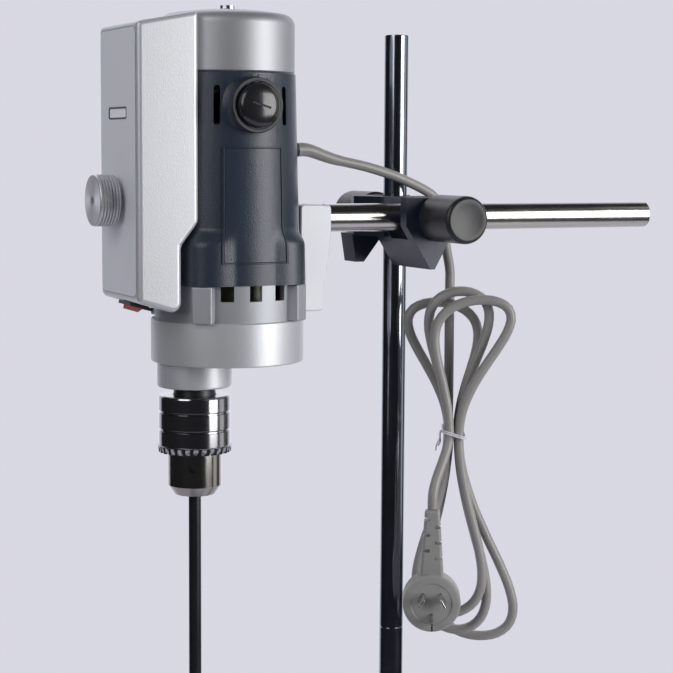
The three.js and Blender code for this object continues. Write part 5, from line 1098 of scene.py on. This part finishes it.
# Camera, stage and lights, after the photograph
CAMERA_PLACE = (-420.7, -1012.1, 737.3)
AZIMUTH, PITCH, ROLL = 26.13, 5.95, 0.34
SENSOR_WIDTH = 36
FOCAL_SHARE = 1764 / 673
BACKGROUND = (0.69, 0.685, 0.765, 1)
FLOOR_RADIUS, FADE_START, FADE_END = 2600, 0.35, 1.1
ROOM_DARK, ROOM_LIGHT, ROOM_STRENGTH = (0.05, 0.05, 0.06, 1), (0.80, 0.80, 0.86, 1), 0.55
SCREEN_RADIUS, SCREEN_LOW, SCREEN_HIGH, SCREEN_TOP = 2400, -1600, 2600, 2620
SCREEN_SWEEP = -245, 15
LAMP_TARGET = (20, 0, 640)
# Each lamp's place, its width and height in metres, and its power
LAMPS = {"key": ((-1300, -700, 1400), (0.9, 1.3), 9), "front": ((980, -1130, 830), (0.8, 1.0), 16),
         "side": ((1200, -300, 900), (0.5, 1.4), 1.5), "top": ((0, 1000, 1900), (1.4, 1.0), 5),
         "back": ((700, 1400, 900), (1.8, 1.8), 4)}


def make_camera():
    data = bpy.data.cameras.new("camera")
    data.sensor_width = SENSOR_WIDTH
    data.lens = SENSOR_WIDTH * FOCAL_SHARE
    data.clip_start = 0.01
    camera = link("camera", data)
    aim = turn(-AZIMUTH, "Z") @ turn(90 - PITCH, "X") @ turn(ROLL, "Z")
    camera.matrix_world = Matrix.Translation(metres(CAMERA_PLACE)) @ aim
    bpy.context.scene.camera = camera


def make_floor():
    """A floor that keeps the object's shadow and fades into the background."""
    bm = bmesh.new()
    bmesh.ops.create_circle(bm, cap_ends=True, radius=FLOOR_RADIUS, segments=96)
    floor = from_bmesh("floor", bm)
    material = bpy.data.materials.new("floor")
    material.use_nodes = True
    tree = material.node_tree
    shader = tree.nodes["Principled BSDF"]
    fill(shader, {"Base Color": BACKGROUND, "Roughness": 0.8})
    length = tree.nodes.new("ShaderNodeVectorMath")
    length.operation = "LENGTH"
    fill(length, {0: add(tree, "TexCoord", {}).outputs["Object"]})
    fade = add(tree, "MapRange", {
        "From Min": FADE_START, "From Max": FADE_END, "Value": length.outputs["Value"]})
    fade.interpolation_type = "SMOOTHSTEP"
    clear = add(tree, "BsdfTransparent", {})
    mix = add(tree, "MixShader", {"Fac": fade.outputs["Result"], 1: shader.outputs[0], 2: clear.outputs[0]})
    fill(tree.nodes["Material Output"], {"Surface": mix.outputs[0]})
    paint(floor, material)


def make_world():
    """The background as the camera sees it, and a darker room, lighter to the back, that lights."""
    world = bpy.data.worlds.new("studio")
    bpy.context.scene.world = world
    world.use_nodes = True
    tree = world.node_tree
    seen = tree.nodes["Background"]
    fill(seen, {"Color": BACKGROUND})
    apart = add(tree, "SeparateXYZ", {"Vector": add(tree, "TexCoord", {}).outputs["Generated"]})
    lift = add(tree, "MapRange", {"From Min": -0.7, "From Max": 0.9, "Value": apart.outputs["Y"]})
    ramp = add(tree, "ValToRGB", {"Fac": lift.outputs["Result"]})
    for element, colour in zip(ramp.color_ramp.elements, (ROOM_DARK, ROOM_LIGHT)):
        element.color = colour
    room = add(tree, "Background", {"Color": ramp.outputs["Color"], "Strength": ROOM_STRENGTH})
    rays = add(tree, "LightPath", {}).outputs
    share = rays["Is Camera Ray"]
    for ray in ("Is Glossy Ray", "Is Transmission Ray"):
        share = reckon(tree, "MAXIMUM", share, rays[ray])
    mix = add(tree, "MixShader", {"Fac": share, 1: room.outputs[0], 2: seen.outputs[0]})
    fill(tree.nodes["World Output"], {"Surface": mix.outputs[0]})


def make_screens():
    """Dark screens round and over the camera: only gloss sees them, as the dark room in the chrome."""
    across = arc((0, 0), SCREEN_RADIUS, *SCREEN_SWEEP, 52)
    outline = across + [(x * 1.01, y * 1.01) for x, y in reversed(across)]
    cloth = surface("screen_cloth", (0.03, 0.03, 0.034), 0.9, 0, 60, 0.1)
    for screen in (prism("dark_screen", outline, SCREEN_LOW, SCREEN_HIGH),
                   prism("dark_ceiling", across, SCREEN_HIGH, SCREEN_TOP)):
        paint(screen, cloth)
        screen.visible_camera = screen.visible_diffuse = screen.visible_shadow = False


def make_lights():
    for name, (place, size, power) in LAMPS.items():
        data = bpy.data.lights.new(name, "AREA")
        data.shape = "RECTANGLE"
        data.size, data.size_y = size
        data.energy = power
        light = link(name, data)
        light.location = metres(place)
        aim = Vector(metres(LAMP_TARGET)) - Vector(metres(place))
        light.rotation_euler = aim.to_track_quat("-Z", "Y").to_euler()


# The scene
make_cap()
make_housing()
make_labels()
make_brush_caps()
make_flange()
make_gear_housing()
make_box()
make_front_plate()
make_knob()
make_bracket()
make_chuck()
make_rod()
dress_inner_pieces()
make_stand()
make_bar()
make_clamp()
make_camera()
make_lead()
make_floor()
make_world()
make_screens()
make_lights()

bpy.context.scene.view_settings.view_transform = "Standard"
